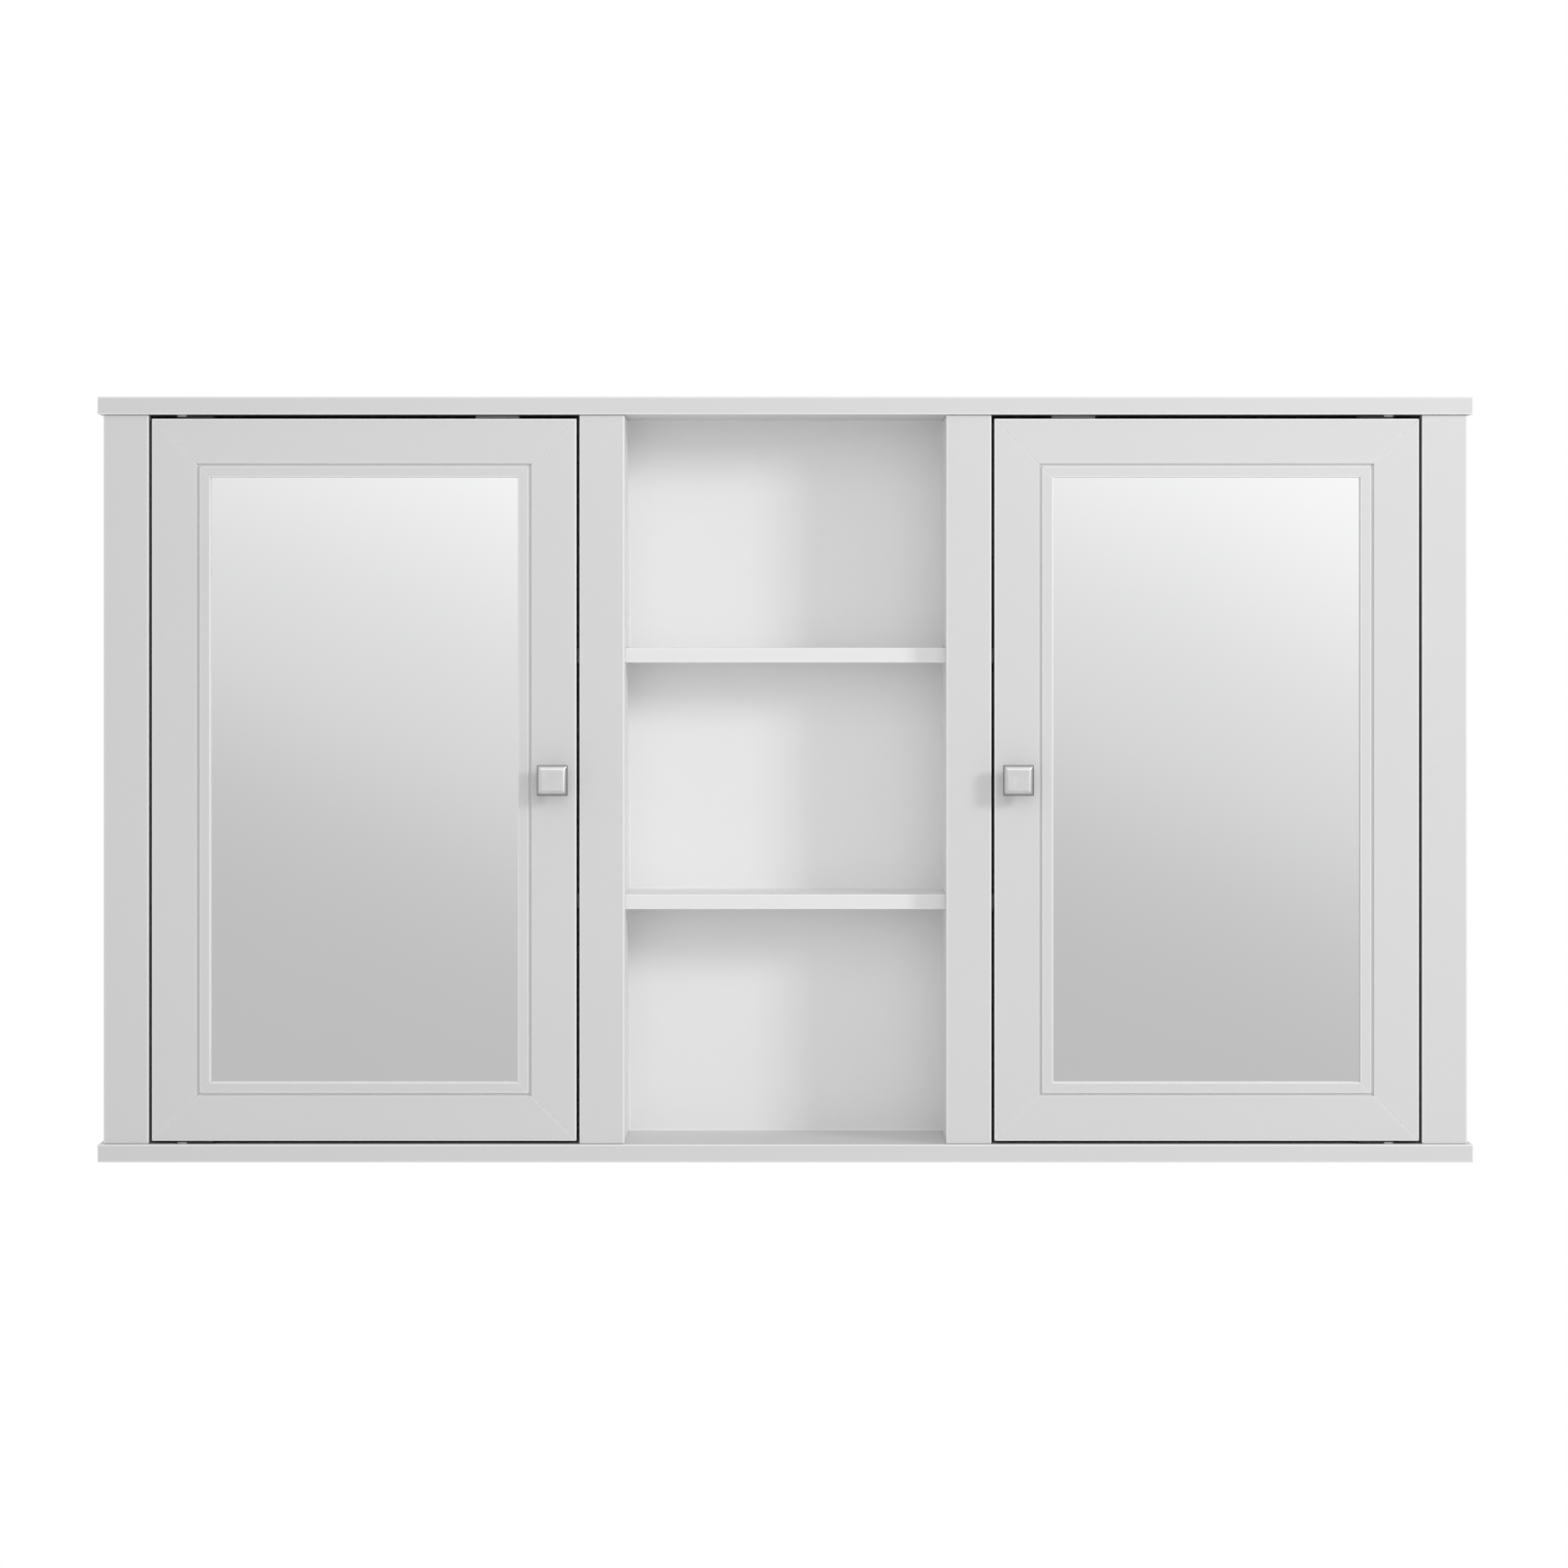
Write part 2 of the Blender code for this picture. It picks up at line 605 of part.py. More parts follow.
def add_hinge(label, side, pivot, end, rail):
    """One pivot hinge: a leaf with a pin on the cabinet, and a leaf with a hole on the door."""
    if end == "top":
        board_face, door_edge, gap, towards_door = INNER_TOP, DOOR_TOP, DOOR_TOP_GAP, -1
    else:
        board_face, door_edge, gap, towards_door = INNER_BOTTOM, DOOR_BOTTOM, DOOR_BOTTOM_GAP, 1
    thickness = (gap - 3 * JOINT_GAP) / 2
    from_face = towards_door * (JOINT_GAP + thickness / 2)
    x = side * PIVOT_X

    node = f"hinge_pin_leaf_{label}_{end}"
    mesh = leaf_mesh(node, side, thickness)
    pin_leaf = part(node, mesh, BLACK_STEEL, (x, PIVOT_Y, board_face + from_face))
    pin_length = gap - JOINT_GAP + PIN_REACH - thickness / 2
    name = f"hinge_pin_{label}_{end}"
    pin_start = board_face + from_face
    pin_middle = pin_start + towards_door * pin_length / 2
    pin = helper(name, cylinder_mesh(name, PIN_RADIUS, pin_length), (x, PIVOT_Y, pin_middle))
    combine(pin_leaf, pin, "UNION")

    node = f"door_{label}_hinge_leaf_{end}"
    mesh = leaf_mesh(node, side, thickness)
    door_leaf = part(node, mesh, BLACK_STEEL, (x, PIVOT_Y, door_edge - from_face), pivot)
    hole_length = gap + PIN_REACH + 2 * JOINT_GAP
    name = f"hinge_bore_cutter_{label}_{end}"
    hole_middle = board_face + towards_door * hole_length / 2
    hole = cylinder_mesh(name, PIN_RADIUS + BORE_GAP, hole_length)
    bore = helper(name, hole, (x, PIVOT_Y, hole_middle), pivot)
    combine(door_leaf, bore, "DIFFERENCE")
    combine(rail, bore, "DIFFERENCE")


def add_strike(label, side, pivot):
    """The steel plate on the door's back that the magnet holds."""
    half = Vector((STRIKE_LENGTH, 0, STRIKE_HEIGHT)) / 2
    face = Vector((side * CATCH_X, STRIKE_FRONT, MAGNET_Z))
    back = Vector((0, STRIKE_THICKNESS, 0))
    block(f"door_{label}_strike_plate", face - half, face + half + back, STEEL, parent=pivot)


def add_door(label, side):
    """A mitred frame with its mirror, knob and hinge leaves, all held by an empty on the pivot."""
    pivot = bpy.data.objects.new(f"door_{label}_pivot", None)
    bpy.context.collection.objects.link(pivot)
    pivot.location = (side * PIVOT_X, PIVOT_Y, DOOR_BOTTOM)
    sticks = add_sticks(label, side, pivot)
    add_glazing(label, side, pivot)
    add_knob(label, side, pivot, sticks["lock_stile"])
    add_strike(label, side, pivot)
    for end in ("top", "bottom"):
        add_hinge(label, side, pivot, end, sticks[f"{end}_rail"])


def main():
    clear_scene()
    add_boards()
    add_uprights()
    add_shelves()
    add_back()
    for label, side in SIDES:
        add_catch(label, side)
        add_door(label, side)


main()
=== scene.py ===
"""Looks for the hanging wall cabinet: painted frame and shelves, mirrored doors, metal fittings.

Metres, +Z up, front towards -Y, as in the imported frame. Every place is read from the frame's
nodes; the sizes below are only those of details that the frame doesn't hold.
"""

import json
import math

import bmesh
import bpy
import numpy as np
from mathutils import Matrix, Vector


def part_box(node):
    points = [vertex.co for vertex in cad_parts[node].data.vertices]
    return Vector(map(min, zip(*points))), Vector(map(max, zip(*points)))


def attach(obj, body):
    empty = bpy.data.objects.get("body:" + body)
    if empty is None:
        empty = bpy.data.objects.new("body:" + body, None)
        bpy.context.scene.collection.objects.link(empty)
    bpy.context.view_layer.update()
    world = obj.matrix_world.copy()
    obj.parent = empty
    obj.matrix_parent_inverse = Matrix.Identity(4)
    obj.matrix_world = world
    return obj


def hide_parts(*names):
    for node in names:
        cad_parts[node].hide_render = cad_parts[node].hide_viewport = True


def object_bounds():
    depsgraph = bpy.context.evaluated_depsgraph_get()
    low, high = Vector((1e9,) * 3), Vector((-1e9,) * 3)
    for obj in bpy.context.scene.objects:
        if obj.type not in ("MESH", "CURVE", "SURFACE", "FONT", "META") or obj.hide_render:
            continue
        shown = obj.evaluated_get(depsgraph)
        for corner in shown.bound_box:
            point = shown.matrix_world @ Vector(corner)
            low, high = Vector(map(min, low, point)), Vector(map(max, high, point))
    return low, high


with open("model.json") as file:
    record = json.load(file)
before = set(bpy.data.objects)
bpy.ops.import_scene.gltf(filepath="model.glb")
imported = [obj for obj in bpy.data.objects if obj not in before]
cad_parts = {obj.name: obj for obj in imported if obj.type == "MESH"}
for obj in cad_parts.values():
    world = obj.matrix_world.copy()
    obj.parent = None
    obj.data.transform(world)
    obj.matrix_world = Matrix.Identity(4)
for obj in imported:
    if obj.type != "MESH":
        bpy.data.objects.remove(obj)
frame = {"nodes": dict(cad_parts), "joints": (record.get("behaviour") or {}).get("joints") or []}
cad_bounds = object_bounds()

RIGHT = np.array((1.0, 0.0, 0.0))
BACK = np.array((0.0, 1.0, 0.0))
UP = np.array((0.0, 0.0, 1.0))

# Each side's name, and which way along x it lies
SIDES = (("left", -1), ("right", 1))

# Painted boards. A shoulder is a strip beside a rounded edge that still faces as the flat does,
# and the end turn, in degrees, is where the rounding of a board's end starts
BOARD_ARRIS = 0.0009
STILE_ARRIS = 0.0010
SHELF_ARRIS = 0.0009
SHOULDER = 0.0006
END_TURN = 86
CORNER_PAINT = 0.0016
PAINT_BITE = 0.0004
ROUND_STEPS = 5

# Door sticks, measured in from the door's edge
STICK_ARRIS = 0.0010
FLAT_WIDTH = 0.0393
GROOVE_WIDTH = 0.0023
GROOVE_DEPTH = 0.0030
GROOVE_ARRIS = 0.0003
LIP_STEPS = 3
BEAD_DROP = 0.0002
BEAD_ROUND = 0.0007
REBATE_WIDTH = 0.008
REBATE_DEPTH = 0.006
MITRE_EASE = 0.0006
MITRE_STEPS = 3
MITRE_LINE = 0.0001

# Knob: foot and stem as (radius, how far from the door), and the points that ease the two
# edges of the bevel as (outward, forward) shares of the edge's size
KNOB_STEM = (
    (0.0081, 0), (0.0085, 0.0004), (0.0085, 0.0011), (0.0077, 0.0017), (0.0065, 0.0024),
    (0.0057, 0.0036), (0.0055, 0.0060),
)
KNOB_NECK = 0.0055
KNOB_ROUND = 0.999
KNOB_BEVEL = 0.0036
KNOB_BEVEL_DEPTH = 0.0024
KNOB_HEAD = 0.009
KNOB_CORNER = 0.0009
KNOB_EDGE = 0.0005
KNOB_EDGE_STEPS = 4
KNOB_BEVEL_FOOT = ((0, -1), (-0.15, -0.3), (-0.6, 0.15))
KNOB_BEVEL_TOP = ((0.7, -0.4), (-0.1, -0.08), (-0.9, 0))

# Pivot hinges: the lacquer is rubbed off round the pin, and the pin's hole is deeper by a spare
LEAF_GAP = 0.0003
LEAF_SCREW_OFFSETS = (0.0115, 0.0225)
LEAF_SCREW_RADIUS = 0.0021
LEAF_SCREW_HEIGHT = 0.00012
LEAF_SCREW_SUNK = 0.00002
PIN_RUB = 0.0045
PIN_RUB_FADE = 0.0008
PIN_BORE_RADIUS = 0.0023
PIN_BORE_SPARE = 0.0006
PIN_BORE_STEPS = 6

# Catches, strike plates and keyhole plates
CATCH_EAR = 0.0025
CATCH_SCREW_INSET = 0.0045
CATCH_SCREW_RADIUS = 0.0026
CATCH_SCREW_HEIGHT = 0.0012
STRIKE_SCREW_INSET = 0.0045
STRIKE_SCREW_RADIUS = 0.0019
STRIKE_SCREW_HEIGHT = 0.0002
PLATE_SCREW_INSET = 0.0055
PLATE_SCREW_RADIUS = 0.0030
PLATE_SCREW_HEIGHT = 0.00025

# Clips behind the mirrors: the seat is a share of the length, and its screw stands a share of
# the seat back from the bend
CLIP_LENGTH = 0.016
CLIP_WIDTH = 0.010
CLIP_THICKNESS = 0.0009
CLIP_PITCH = 0.170
CLIP_SEAT_SHARE = 0.55
CLIP_BEND_START = -0.0022
CLIP_BEND_RUN = 0.0042
CLIP_BEND_POINTS = 9
CLIP_CLEARANCE = 0.0003
CLIP_SETBACK = 0.001
CLIP_ARRIS = 0.0002
CLIP_SCREW_SHARE = 0.62
CLIP_SCREW_RADIUS = 0.0024
CLIP_SCREW_HEIGHT = 0.0009

# Brads
BRAD_RADIUS = 0.0012
BRAD_HEIGHT = 0.0003
BRAD_PITCH = 0.145
BRAD_INSET = 0.006
BRAD_END_GAP = 0.03

# Screw heads, as shares of their radius or height
HEAD_HUB = 0.08
HEAD_CURVE = 0.92
SLOT_REACH = 0.62
SLOT_HALF_WIDTH = 0.15
SLOT_DEPTH = 0.75

# How light the paint is: frame and doors, inside, and the painted highlight along its rounded edges
FRAME_TONE = 0.72
SHELF_TONE = 0.86
NICHE_TONE = 0.87
EDGE_HIGHLIGHT_TONE = 0.97

# Floor
FLOOR_DROP = 1.30
FLOOR_RADIUS = 4.5
FLOOR_POINTS = 96

# What shiny surfaces see: a grey that follows the rise, and another well off to the side
SKY_LEAN = 0.416
SKY_STEP = 0.057
SKY_STEP_REACH = 0.045
SKY_LOW = -0.13
SKY_HIGH = 0.03
SKY_LEAST_RUN = 0.05
SKY_STOPS = (
    (0.0, 0.53), (0.2, 0.535), (0.36, 0.59), (0.5, 0.70), (0.65, 0.765), (0.8, 0.89),
    (0.92, 0.975), (1.0, 1.0),
)
SIDE_GREY = 0.76
SIDE_SLOPE = (-0.10, 0.30)
SIDE_TURN = (0.45, 0.75)

# What matt surfaces see
EVEN_LIGHT = 0.525
FRONT_LIGHT = 0.50
FRONT_POWER = 8.0

# Lights and camera
KEY_WAY = (1.24, -1.0, 0.50)
KEY_DISTANCE = 3.0
KEY_SIZE = 0.55
KEY_POWER = 23.0
FILL_PLACE = (0.1, -1.7, 0.50)
FILL_SIZE = 1.2
FILL_POWER = 5.0
CAMERA_DISTANCE = 4.5
SENSOR_WIDTH = 36
FRAME_SPAN = 1.3678
CAMERA_SHIFT = (-0.0009, -0.0952)
CAMERA_BELOW_TOP = 0.2077


# Places in the frame

def low_high(node):
    """The lowest and highest corners of a node's box."""
    low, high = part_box(node)
    return np.array(low), np.array(high)


def middle(node):
    """The centre of a node's box."""
    low, high = low_high(node)
    return (low + high) / 2


def pivot_place(label):
    """Where the axis of a door's hinges stands."""
    return {joint["child"]: joint["pos_m"] for joint in frame["joints"]}[f"door_{label}"]


# Meshes from arrays

def mesh_object(name, points, faces, smooth_angle=40, edge_light_and_shade=None):
    """A finished object from arrays of points and faces, its faces turned outwards.

    Where given, edge light and shade says for each point how strongly the finish paints its rounded
    edge there,
    from 0 to 1: a painted highlight on paint, a painted dark shade on chrome.
    """
    mesh = bpy.data.meshes.new(name)
    mesh.from_pydata(np.asarray(points, float).tolist(), [], faces)
    if edge_light_and_shade is not None:
        edge_gloss = mesh.attributes.new("edge_light_and_shade", "FLOAT", "POINT")
        edge_gloss.data.foreach_set("value", np.asarray(edge_light_and_shade, np.float32))
    shape = bmesh.new()
    shape.from_mesh(mesh)
    bmesh.ops.recalc_face_normals(shape, faces=shape.faces)
    shape.to_mesh(mesh)
    shape.free()
    mesh.shade_smooth()
    mesh.set_sharp_from_angle(angle=math.radians(smooth_angle))
    obj = bpy.data.objects.new(name, mesh)
    bpy.context.collection.objects.link(obj)
    return obj


def ring_faces(rings, count, first=0):
    """Faces of a tube of rings, each with the same count of points, closed by its two end faces."""
    grid = first + np.arange(rings * count).reshape(rings, count)
    turned = np.roll(grid, -1, axis=1)
    walls = np.stack([grid[:-1], turned[:-1], turned[1:], grid[1:]], axis=-1).reshape(-1, 4)
    return walls.tolist() + [grid[0][::-1].tolist(), grid[-1].tolist()]


def arc(centre, radius, start, end, steps):
    """Points at centre + radius (cos a, sin a), for angles a from start to end in degrees."""
    angles = np.radians(np.linspace(start, end, steps + 1))
    return np.stack([np.cos(angles), np.sin(angles)], axis=1) * radius + np.asarray(centre)


def copies(local, faces, places):
    """Points and faces of a small shape set down at each place."""
    points = np.concatenate([local + np.asarray(place) for place in places])
    firsts = range(0, len(points), len(local))
    return points, [[i + first for i in face] for first in firsts for face in faces]


def soften(obj, width, segments):
    """Rounds a piece's sharp edges and keeps its flat faces flat."""
    bevel = obj.modifiers.new("arris", "BEVEL")
    bevel.width = width
    bevel.segments = segments
    bevel.limit_method = "ANGLE"
    bevel.angle_limit = math.radians(50)
    bevel.harden_normals = True


def arc_highlight(amount, steps):
    """How much painted highlight the points of an outward arc get, most in its middle."""
    return amount * (0.5 + 0.5 * np.sin(np.linspace(0, math.pi, steps + 1)))


def rounded_rectangle(width, height, inset, radius, steps):
    """A rectangle with quarter-round corners, inset all round, and how much painted highlight each
    point gets.

    Each corner has a shoulder point before and after it.
    """
    reach = inset + radius
    outline = []
    for x, y, start in ((width, height, 0), (0, height, 90), (0, 0, 180), (width, 0, 270)):
        turn = arc((abs(x - reach), abs(y - reach)), radius, start, start + 90, steps)
        before, after = arc((0, 0), SHOULDER, start - 90, start + 180, 1)
        outline += [turn[:1] + before, turn, turn[-1:] + after]
    return np.concatenate(outline), np.tile([0, *arc_highlight(1.0, steps), 0], 4)


def plank(name, low, high, arris, steps=4):
    """A board with every edge rounded: a rounded rectangle carried along the board's length.

    Near each end, at angle b, the rectangle is inset by arris * (1 - cos b) and stands
    arris * (1 - sin b) from the end, so the ends are rounded as the sides are. The angle starts
    just short of a right angle, which leaves the end face its corners.
    """
    size = high - low
    across, out, along = (np.eye(3)[axis] for axis in np.argsort(size))
    width, height, length = np.sort(size)
    turn = np.radians(np.linspace(END_TURN, 0, steps + 1))
    insets = [arris + SHOULDER, *arris * (1 - np.cos(turn)), 0]
    radii = [arris * np.cos(turn[0]), *arris * np.cos(turn), arris]
    runs = [0, *arris * (1 - np.sin(turn)), arris + SHOULDER]
    # Painted highlight on the rounded ends of the board, most where they turn
    end_highlights = [0, *np.sin(2 * turn), 0]
    near, far, edge_light_and_shade = [], [], []
    for inset, radius, run, end_highlight in zip(insets, radii, runs, end_highlights):
        outline, crest = rounded_rectangle(width, height, inset, radius, steps)
        section = low + outline[:, :1] * across + outline[:, 1:] * out
        near.append(section + run * along)
        far.append(section + (length - run) * along)
        edge_light_and_shade.append(np.maximum(crest * radius / arris, end_highlight))
    rings = near + far[::-1]
    faces = ring_faces(len(rings), len(rings[0]))
    edge_light_and_shade = np.concatenate(edge_light_and_shade + edge_light_and_shade[::-1])
    return mesh_object(name, np.concatenate(rings), faces, edge_light_and_shade=edge_light_and_shade)


# Painted carcass

def add_planks():
    """Boards, stiles and shelves with the rounded arrises that sanding and paint leave."""
    arrises = {"top_board": BOARD_ARRIS, "bottom_board": BOARD_ARRIS}
    for label, _ in SIDES:
        arrises[f"inner_stile_{label}"] = STILE_ARRIS
        arrises[f"outer_stile_{label}"] = STILE_ARRIS
    for bay in ("left", "centre", "right"):
        for number in (1, 2):
            arrises[f"{bay}_shelf_{number}"] = SHELF_ARRIS
    for node, arris in arrises.items():
        low, high = low_high(node)
        piece = plank(f"{node}_painted", low, high, arris)
        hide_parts(node)
        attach(piece, "carcass")
        vertical = "stile" in node
        finish = SHELF_PAINT if "shelf" in node else (FRAME_PAINT_UP if vertical else FRAME_PAINT)
        piece.data.materials.append(finish)


def add_corner_paint():
    """The paint that fills the corners where the boards meet the back panel, a loop per niche.

    A hollow quarter-round, (r - r cos a, r - r sin a) in from the boards and out from the panel,
    is carried round the niche with a mitre at each corner, its back buried in boards and panel.
    """
    panel = low_high("back_panel")[0][1]
    bays = (
        ("left", low_high("side_panel_left")[1][0], low_high("partition_left")[0][0]),
        ("centre", low_high("partition_left")[1][0], low_high("partition_right")[0][0]),
        ("right", low_high("partition_right")[1][0], low_high("side_panel_right")[0][0]),
    )
    hollow = arc((CORNER_PAINT, CORNER_PAINT), CORNER_PAINT, 180, 270, ROUND_STEPS)
    buried = [(CORNER_PAINT, -PAINT_BITE), (-PAINT_BITE, -PAINT_BITE), (-PAINT_BITE, CORNER_PAINT)]
    section = np.concatenate([hollow, buried])
    grid = np.arange(4 * len(section)).reshape(4, -1)
    onward, turned = np.roll(grid, -1, axis=0), np.roll(grid, -1, axis=1)
    loop = np.stack([grid, turned, np.roll(onward, -1, axis=1), onward], axis=-1).reshape(-1, 4)
    points, faces = [], []
    for bay, left, right in bays:
        shelves = sorted(
            [corner[2] for corner in low_high(f"{bay}_shelf_{number}")] for number in (1, 2)
        )
        floors = [low_high("bottom_board")[1][2], *(top for _, top in shelves)]
        ceilings = [*(under for under, _ in shelves), low_high("top_board")[0][2]]
        for floor, ceiling in zip(floors, ceilings):
            faces.append(loop + len(points) * len(section))
            for x, z, inward, up in (
                (left, floor, 1, 1), (right, floor, -1, 1),
                (right, ceiling, -1, -1), (left, ceiling, 1, -1),
            ):
                points.append(
                    np.array((x, panel, z)) + section[:, :1] * np.array((inward, 0, up))
                    - section[:, 1:] * BACK
                )
    piece = mesh_object("corner_paint", np.concatenate(points), np.concatenate(faces).tolist())
    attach(piece, "carcass")
    piece.data.materials.append(NICHE_PAINT)


# Doors

def stick_profile(width, thickness):
    """(inset, depth) outline of a door stick, front face at depth 0, and how much painted highlight
    each point gets.

    In from the edge: a flat, a square groove with eased lips, a flat bead, the sight edge down
    to the mirror, and the rebate behind it. Only the outward arcs get the painted highlight, most
    at their middle.
    """
    groove_end = FLAT_WIDTH + GROOVE_WIDTH
    lip = FLAT_WIDTH - GROOVE_ARRIS
    crown = BEAD_DROP + BEAD_ROUND
    bead_low, bead_high = groove_end + BEAD_ROUND, width - BEAD_ROUND
    floor = GROOVE_DEPTH - GROOVE_ARRIS
    edge_back = thickness - STICK_ARRIS
    rebate = width - REBATE_WIDTH
    runs = (
        ([(0, STICK_ARRIS + SHOULDER)], 0),
        (arc((STICK_ARRIS, STICK_ARRIS), STICK_ARRIS, 180, 270, ROUND_STEPS), 1.0),
        ([(STICK_ARRIS + SHOULDER, 0), (lip - SHOULDER, 0)], 0),
        (arc((lip, GROOVE_ARRIS), GROOVE_ARRIS, 270, 360, LIP_STEPS), 0.6),
        (arc((FLAT_WIDTH + GROOVE_ARRIS, floor), GROOVE_ARRIS, 180, 90, LIP_STEPS), 0),
        (arc((groove_end - GROOVE_ARRIS, floor), GROOVE_ARRIS, 90, 0, LIP_STEPS), 0),
        (arc((bead_low, crown), BEAD_ROUND, 180, 270, ROUND_STEPS), 0.8),
        ([(bead_low + SHOULDER, BEAD_DROP), (bead_high - SHOULDER, BEAD_DROP)], 0),
        (arc((bead_high, crown), BEAD_ROUND, 270, 360, ROUND_STEPS), 1.0),
        ([(width, REBATE_DEPTH), (rebate, REBATE_DEPTH), (rebate, thickness)], 0),
        ([(STICK_ARRIS + SHOULDER, thickness)], 0),
        (arc((STICK_ARRIS, edge_back), STICK_ARRIS, 90, 180, ROUND_STEPS), 1.0),
        ([(0, edge_back - SHOULDER)], 0),
    )
    edge_light_and_shade = [arc_highlight(amount, len(points) - 1) for points, amount in runs]
    return np.concatenate([np.asarray(points, float) for points, _ in runs]), np.concatenate(edge_light_and_shade)


def bored(points, faces, number, centre, way_in):
    """Points and faces with a blind round hole sunk in one flat four-sided face.

    The rim is centre + r (cos a, sin a) in the face's own directions. Each side of the face is
    joined to the quarter of the rim that lies towards it, and the wall goes straight in.
    """
    corners = faces[number]
    across, up = points[corners[1]] - points[corners[0]], points[corners[3]] - points[corners[0]]
    across, up = across / np.linalg.norm(across), up / np.linalg.norm(up)
    turn = arc((0, 0), PIN_BORE_RADIUS, 225, 585, 4 * PIN_BORE_STEPS)[:-1]
    rim = centre + turn[:, :1] * across + turn[:, 1:] * up
    first = len(points)
    plate = []
    for side in range(4):
        back = np.arange((side + 1) * PIN_BORE_STEPS, side * PIN_BORE_STEPS - 1, -1) % len(rim)
        plate.append([corners[side], corners[(side + 1) % 4], *(first + back).tolist()])
    *walls, _, floor = ring_faces(2, len(rim), first)
    faces = faces[:number] + plate + walls + [floor] + faces[number + 1:]
    return np.concatenate([points, rim, rim + way_in]), faces


def mitred_stick(name, corner, along, inward, length, size, bore=None):
    """The stick's profile carried along its length, with a mitre at each end.

    A profile point (p, q) goes to corner + run * along + p * inward + q * back, where its run
    starts and ends p from the stick's ends, less the mitre's line. There the front drops by
    ease * (1 - sin b) while the run grows by ease * (1 - cos b), which eases the mitre's edge.
    A bore, where given, is the centre and the way in of a blind hole in the stick's edge.
    """
    profile, crest = stick_profile(*size)
    frontal = (profile[:, 1] < GROOVE_DEPTH / 2).astype(float)
    turn = np.radians(np.linspace(0, 90, MITRE_STEPS + 1))
    drops = [*MITRE_EASE * (1 - np.sin(turn)), 0]
    gains = [*MITRE_EASE * (1 - np.cos(turn)), MITRE_EASE + SHOULDER]
    near, far, edge_light_and_shade = [], [], []
    # The eased mitre edges take the painted highlight as well
    for drop, gain, end_highlight in zip(drops, gains, [*arc_highlight(1.0, MITRE_STEPS), 0]):
        run = (profile[:, 0] + MITRE_LINE + gain)[:, None]
        depth = (profile[:, 1] + drop * frontal)[:, None]
        section = corner + profile[:, :1] * inward + depth * BACK
        near.append(section + run * along)
        far.append(section + (length - run) * along)
        edge_light_and_shade.append(np.maximum(crest, end_highlight * frontal))
    rings = near + far[::-1]
    points, faces = np.concatenate(rings), ring_faces(len(rings), len(profile))
    edge_light_and_shade = np.concatenate(edge_light_and_shade + edge_light_and_shade[::-1])
    if bore:
        points, faces = bored(points, faces, len(near) * len(profile) - 1, *bore)
        edge_light_and_shade = np.append(edge_light_and_shade, np.zeros(len(points) - len(edge_light_and_shade)))
    return mesh_object(name, points, faces, edge_light_and_shade=edge_light_and_shade)


def pin_bore(label, end, edge, inward):
    """Where a hinge pin enters the edge of a rail, and how far in its hole goes."""
    x, y, _ = pivot_place(label)
    low, high = low_high(f"hinge_pin_leaf_{label}_{end}")
    tip = low[2] if end == "top" else high[2]
    return np.array((x, y, edge)), inward * (abs(edge - tip) + PIN_BORE_SPARE)


def add_sticks(label, side):
    """The four mitred sticks of one door, round its mirror."""
    body = f"door_{label}"
    hinge_low, hinge_high = low_high(f"{body}_hinge_stile")
    rail_low, rail_high = low_high(f"{body}_top_rail")
    width = rail_high[2] - rail_low[2]
    thickness = rail_high[1] - rail_low[1]
    mitre_gap = rail_low[0] - min(hinge_low[0], low_high(f"{body}_lock_stile")[0][0])
    left = rail_low[0] - mitre_gap
    right = rail_high[0] + mitre_gap
    front = rail_low[1]
    bottom, top = hinge_low[2] - mitre_gap, hinge_high[2] + mitre_gap
    left_stile, right_stile = (
        ("hinge_stile", "lock_stile") if side < 0 else ("lock_stile", "hinge_stile")
    )
    sticks = (
        ("top_rail", (left, front, top), RIGHT, -UP, right - left, FRAME_PAINT),
        ("bottom_rail", (left, front, bottom), RIGHT, UP, right - left, FRAME_PAINT),
        (left_stile, (left, front, bottom), UP, RIGHT, top - bottom, FRAME_PAINT_UP),
        (right_stile, (right, front, bottom), UP, -RIGHT, top - bottom, FRAME_PAINT_UP),
    )
    for name, corner, along, inward, length, finish in sticks:
        node = f"{body}_{name}"
        end, _, kind = name.partition("_")
        bore = pin_bore(label, end, corner[2], inward) if kind == "rail" else None
        piece = mitred_stick(
            f"{node}_moulded", np.array(corner), along, inward, length, (width, thickness), bore
        )
        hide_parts(node)
        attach(piece, body)
        piece.data.materials.append(finish)


def rounded_square(half, corner, steps=6):
    """Points of a square of this half width whose corners are quarter circles."""
    reach = half - corner
    corners = ((reach, reach, 0), (-reach, reach, 90), (-reach, -reach, 180), (reach, -reach, 270))
    return np.concatenate([arc((x, z), corner, a, a + 90, steps) for x, z, a in corners])


